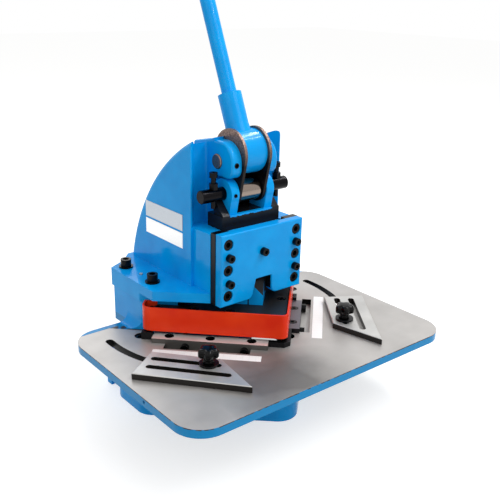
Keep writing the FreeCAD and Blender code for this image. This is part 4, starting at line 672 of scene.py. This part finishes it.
class NOTCHER_OT_tooling(bpy.types.Operator):
    """Blades, punch, die, guides and their finishes"""
    bl_idname = "notcher.tooling"
    bl_label = "Tooling"

    def execute(self, context):
        finish = finish_settings()
        # Freshly ground blades are pale and even; their sides are painted dull grey as shade.
        blades = ground_steel("ground tool steel", "EDECE9", 0.4, 0.5, sides="5A5754", metallic=0.45)
        dress(["lower_blade_left", "upper_blade_left", "upper_blade_right"], blades)
        # One lower blade is a darker, bluish grey copy of the same ground steel, and the punch is nearly
        # brown; both darkenings are painted shade.
        shaded_blade = ground_steel("ground tool steel, painted shade", "77747C", 0.3, 0.42, sides="2E2C30")
        dress(["lower_blade_right"], shaded_blade)
        dress(["punch_plate"], ground_steel("ground steel, painted shade", "4A4643", 0.4, 0.55))
        # The guides are light on their ground tops; their edges are painted almost black as shade.
        guides = ground_steel("ground guide steel", finish.tool_steel, 0.32, 0.45, sides="262321",
                              metallic=0.6)
        dress(["guide_left", "guide_right"], guides)
        # The die and the small plates are dark steel with a soft shine; on the spacers this near-black is
        # painted shade of the gap behind the front plate.
        dark = plain_metal("dark steel and painted shade", "2A2A2C", 0.35)
        dress(["die_block", "die_corner", "stop_blocks", "spacer_left", "spacer_right",
               "washer_left", "washer_right"], dark)
        # Blued steel is black and smooth enough for a thin bright line.
        dress(["cross_shaft"], plain_metal("blued shaft steel", "1B1A1C", 0.2))
        # Polished steel is even and mirrors what stands round it.
        bearing = plain_metal("polished bearing steel", "8C7F76", 0.12, grain=3.0, depth=0.01, darkest=0.96)
        dress(["roller"], bearing)
        dress(["link_left", "link_right"], link_finish())
        # Mill finish is brownish and half matt; the pins' ends are bright.
        dress(["main_shaft"], plain_metal("mill-finish steel", finish.scorched, 0.42, grain=2.5))
        dress(["taper_pins"], plain_metal("bright pin steel", "BDBDBB", 0.3))
        return {"FINISHED"}


class NOTCHER_OT_fasteners(bpy.types.Operator):
    """Black oxide on the screws, studs and nuts"""
    bl_idname = "notcher.fasteners"
    bl_label = "Fasteners"

    def execute(self, context):
        # Black oxide is near black with sharp small glints.
        black = plain_metal("black oxide steel", finish_settings().black_oxide, 0.22, grain=0.8,
                            metallic=0.85)
        dress(["table_screws", "lower_blade_screws", "blade_side_screws", "guard_screws", "frame_bolts",
               "frame_washers", "lug_set_screw", "plate_screws", "push_screws", "ear_set_screw",
               "stop_screws", "stop_nuts", "holder_screws", "punch_screws", "socket_set_screw",
               "stop_block_screws", "stud_left", "stud_right", "clamp_nut_left",
               "clamp_nut_right"], black)
        return {"FINISHED"}


class NOTCHER_OT_guard(bpy.types.Operator):
    """Red enamel on the finger guard"""
    bl_idname = "notcher.guard"
    bl_label = "Guard"

    def execute(self, context):
        dress(["guard"], guard_enamel())
        return {"FINISHED"}


class NOTCHER_OT_plates(bpy.types.Operator):
    """Bare plates on the web and the printed rules on the table"""
    bl_idname = "notcher.plates"
    bl_label = "Plates and rules"

    def execute(self, context):
        # Anodised sheet is an even satin grey; the lacquered one is nearly white.
        anodised = plain_metal("anodised aluminium plate", finish_settings().plate_metal, 0.35, grain=1.5,
                               depth=0.01, darkest=0.96)
        dress(["name_plate"], anodised)
        white = plain_metal("white lacquered aluminium plate", "FBFBFA", 0.4, grain=1.5, metallic=0.75,
                            depth=0.01, darkest=0.97)
        dress(["data_plate"], white)
        for side in ("left", "right"):
            dress(["ruler_" + side], scale_finish(side))
        return {"FINISHED"}


class NOTCHER_OT_knobs(bpy.types.Operator):
    """Star knobs and the handle's grip"""
    bl_idname = "notcher.knobs"
    bl_label = "Knobs and grip"

    def execute(self, context):
        # Phenolic comes glossy and deep black from its mould; the rubber is matt and a little lighter.
        plastic = moulded("moulded black phenolic", finish_settings().plastic, 0.1, shine=0.16)
        for side in ("left", "right"):
            make_knob(side, plastic)
        make_grip(moulded("black rubber grip", "101011", 0.6, grain=1.2))
        return {"FINISHED"}


class NOTCHER_OT_stage(bpy.types.Operator):
    """Floor, lamps, world and camera"""
    bl_idname = "notcher.stage"
    bl_label = "Stage"

    def execute(self, context):
        make_floor()
        make_lamps()
        make_world()
        make_camera()
        context.scene.view_settings.view_transform = "Standard"
        return {"FINISHED"}


# ---------------------------------------------------------------- stage

def seen_directly(tree):
    """One for rays from the camera, in reflections and through clear parts."""
    kinds = ("Is Camera Ray", "Is Glossy Ray", "Is Transmission Ray")
    return any_of(tree, *[add_node(tree, "ShaderNodeLightPath", {}, kind) for kind in kinds])


def make_floor():
    """A matt pale floor whose glow is only seen directly, so it lights nothing and keeps the shadow."""
    half = 9.0
    glow_level = 0.62
    shape = bmesh.new()
    bmesh.ops.create_grid(shape, x_segments=1, y_segments=1, size=half)
    mesh = bpy.data.meshes.new("studio_floor")
    shape.to_mesh(mesh)
    shape.free()
    floor = bpy.data.objects.new("studio_floor", mesh)
    bpy.context.scene.collection.objects.link(floor)
    material, tree = new_material("studio floor")[:2]
    matte = add_node(tree, "ShaderNodeBsdfDiffuse", {"Color": linear(finish_settings().floor)})
    glow = add_node(tree, "ShaderNodeEmission", {"Color": linear("FFFFFF"), "Strength": glow_level})
    both = add_node(tree, "ShaderNodeAddShader", {0: matte, 1: glow})
    seen = add_node(tree, "ShaderNodeMixShader", {0: seen_directly(tree), 1: matte, 2: both})
    add_node(tree, "ShaderNodeOutputMaterial", {"Surface": seen})
    mesh.materials.append(material)


def make_lamps():
    stage = bpy.context.scene.notcher_stage
    # Name, place, width, height and share of the main lamp's power.
    lamps = (
        ("key lamp", (0.4, -1.9, 1.8), 1.4, 1.4, 0.5),
        ("fill lamp", (-1.9, -0.6, 1.6), 1.6, 1.6, 0.2),
        ("rear lamp", (0.6, 2.0, 2.0), 1.8, 1.8, 0.6),
        ("front strip lamp", (1.3, -0.8, 2.2), 2.4, 0.05, 0.55),
        ("rear strip lamp", (1.3, -0.4, 2.25), 2.4, 0.05, 0.55),
    )
    aim = Vector((0.0, -0.05, 0.3))
    for name, place, width, height, share in lamps:
        lamp = bpy.data.lights.new(name, "AREA")
        lamp.shape = "RECTANGLE"
        lamp.size = width
        lamp.size_y = height
        lamp.energy = stage.key_power * share
        thing = bpy.data.objects.new(name, lamp)
        thing.location = place
        thing.rotation_euler = (aim - Vector(place)).to_track_quat("-Z", "Y").to_euler()
        bpy.context.scene.collection.objects.link(thing)


def make_world():
    """Even light from all round, and plain white where it is seen directly."""
    world = bpy.data.worlds.new("studio")
    bpy.context.scene.world = world
    world.use_nodes = True
    tree = world.node_tree
    tree.nodes.clear()
    level = bpy.context.scene.notcher_stage.world_level
    even = add_node(tree, "ShaderNodeBackground", {"Color": linear("FFFFFF"), "Strength": level})
    white = add_node(tree, "ShaderNodeBackground", {"Color": linear("FFFFFF"), "Strength": 1.0})
    seen = add_node(tree, "ShaderNodeMixShader", {0: seen_directly(tree), 1: even, 2: white})
    add_node(tree, "ShaderNodeOutputWorld", {"Surface": seen})


def make_camera():
    """A camera turned by azimuth, elevation and roll."""
    stage = bpy.context.scene.notcher_stage
    flat = math.cos(stage.elevation)
    forward = Vector((math.sin(stage.azimuth) * flat, math.cos(stage.azimuth) * flat,
                      -math.sin(stage.elevation)))
    right = forward.cross(Vector((0.0, 0.0, 1.0))).normalized()
    up = right.cross(forward)
    turned_right = right * math.cos(stage.roll) + up * math.sin(stage.roll)
    turned_up = up * math.cos(stage.roll) - right * math.sin(stage.roll)
    camera = bpy.data.objects.new("camera", bpy.data.cameras.new("camera"))
    camera.data.lens = stage.lens
    camera.data.sensor_width = 36.0
    turn = Matrix((turned_right, turned_up, -forward)).transposed()
    camera.matrix_world = Matrix.Translation(stage.camera_place) @ turn.to_4x4()
    bpy.context.scene.collection.objects.link(camera)
    bpy.context.scene.camera = camera


# ---------------------------------------------------------------- panel and registration

class NOTCHER_PT_panel(bpy.types.Panel):
    """Lists the notcher's steps"""
    bl_idname = "NOTCHER_PT_panel"
    bl_label = "Corner notcher"
    bl_space_type = "VIEW_3D"
    bl_region_type = "UI"
    bl_category = "Notcher"

    def draw(self, context):
        for step in STEPS:
            self.layout.operator(step.bl_idname)


STEPS = (
    NOTCHER_OT_castings,
    NOTCHER_OT_tooling,
    NOTCHER_OT_fasteners,
    NOTCHER_OT_guard,
    NOTCHER_OT_plates,
    NOTCHER_OT_knobs,
    NOTCHER_OT_stage,
)
CLASSES = (NotcherFinish, NotcherParts, NotcherStage, *STEPS, NOTCHER_PT_panel)


def register():
    for item in CLASSES:
        bpy.utils.register_class(item)
    bpy.types.Scene.notcher_finish = PointerProperty(type=NotcherFinish)
    bpy.types.Scene.notcher_parts = PointerProperty(type=NotcherParts)
    bpy.types.Scene.notcher_stage = PointerProperty(type=NotcherStage)


def unregister():
    del bpy.types.Scene.notcher_stage
    del bpy.types.Scene.notcher_parts
    del bpy.types.Scene.notcher_finish
    for item in reversed(CLASSES):
        bpy.utils.unregister_class(item)


def main():
    register()
    for step in STEPS:
        group, name = step.bl_idname.split(".")
        getattr(getattr(bpy.ops, group), name)()


if __name__ == "__main__":
    main()
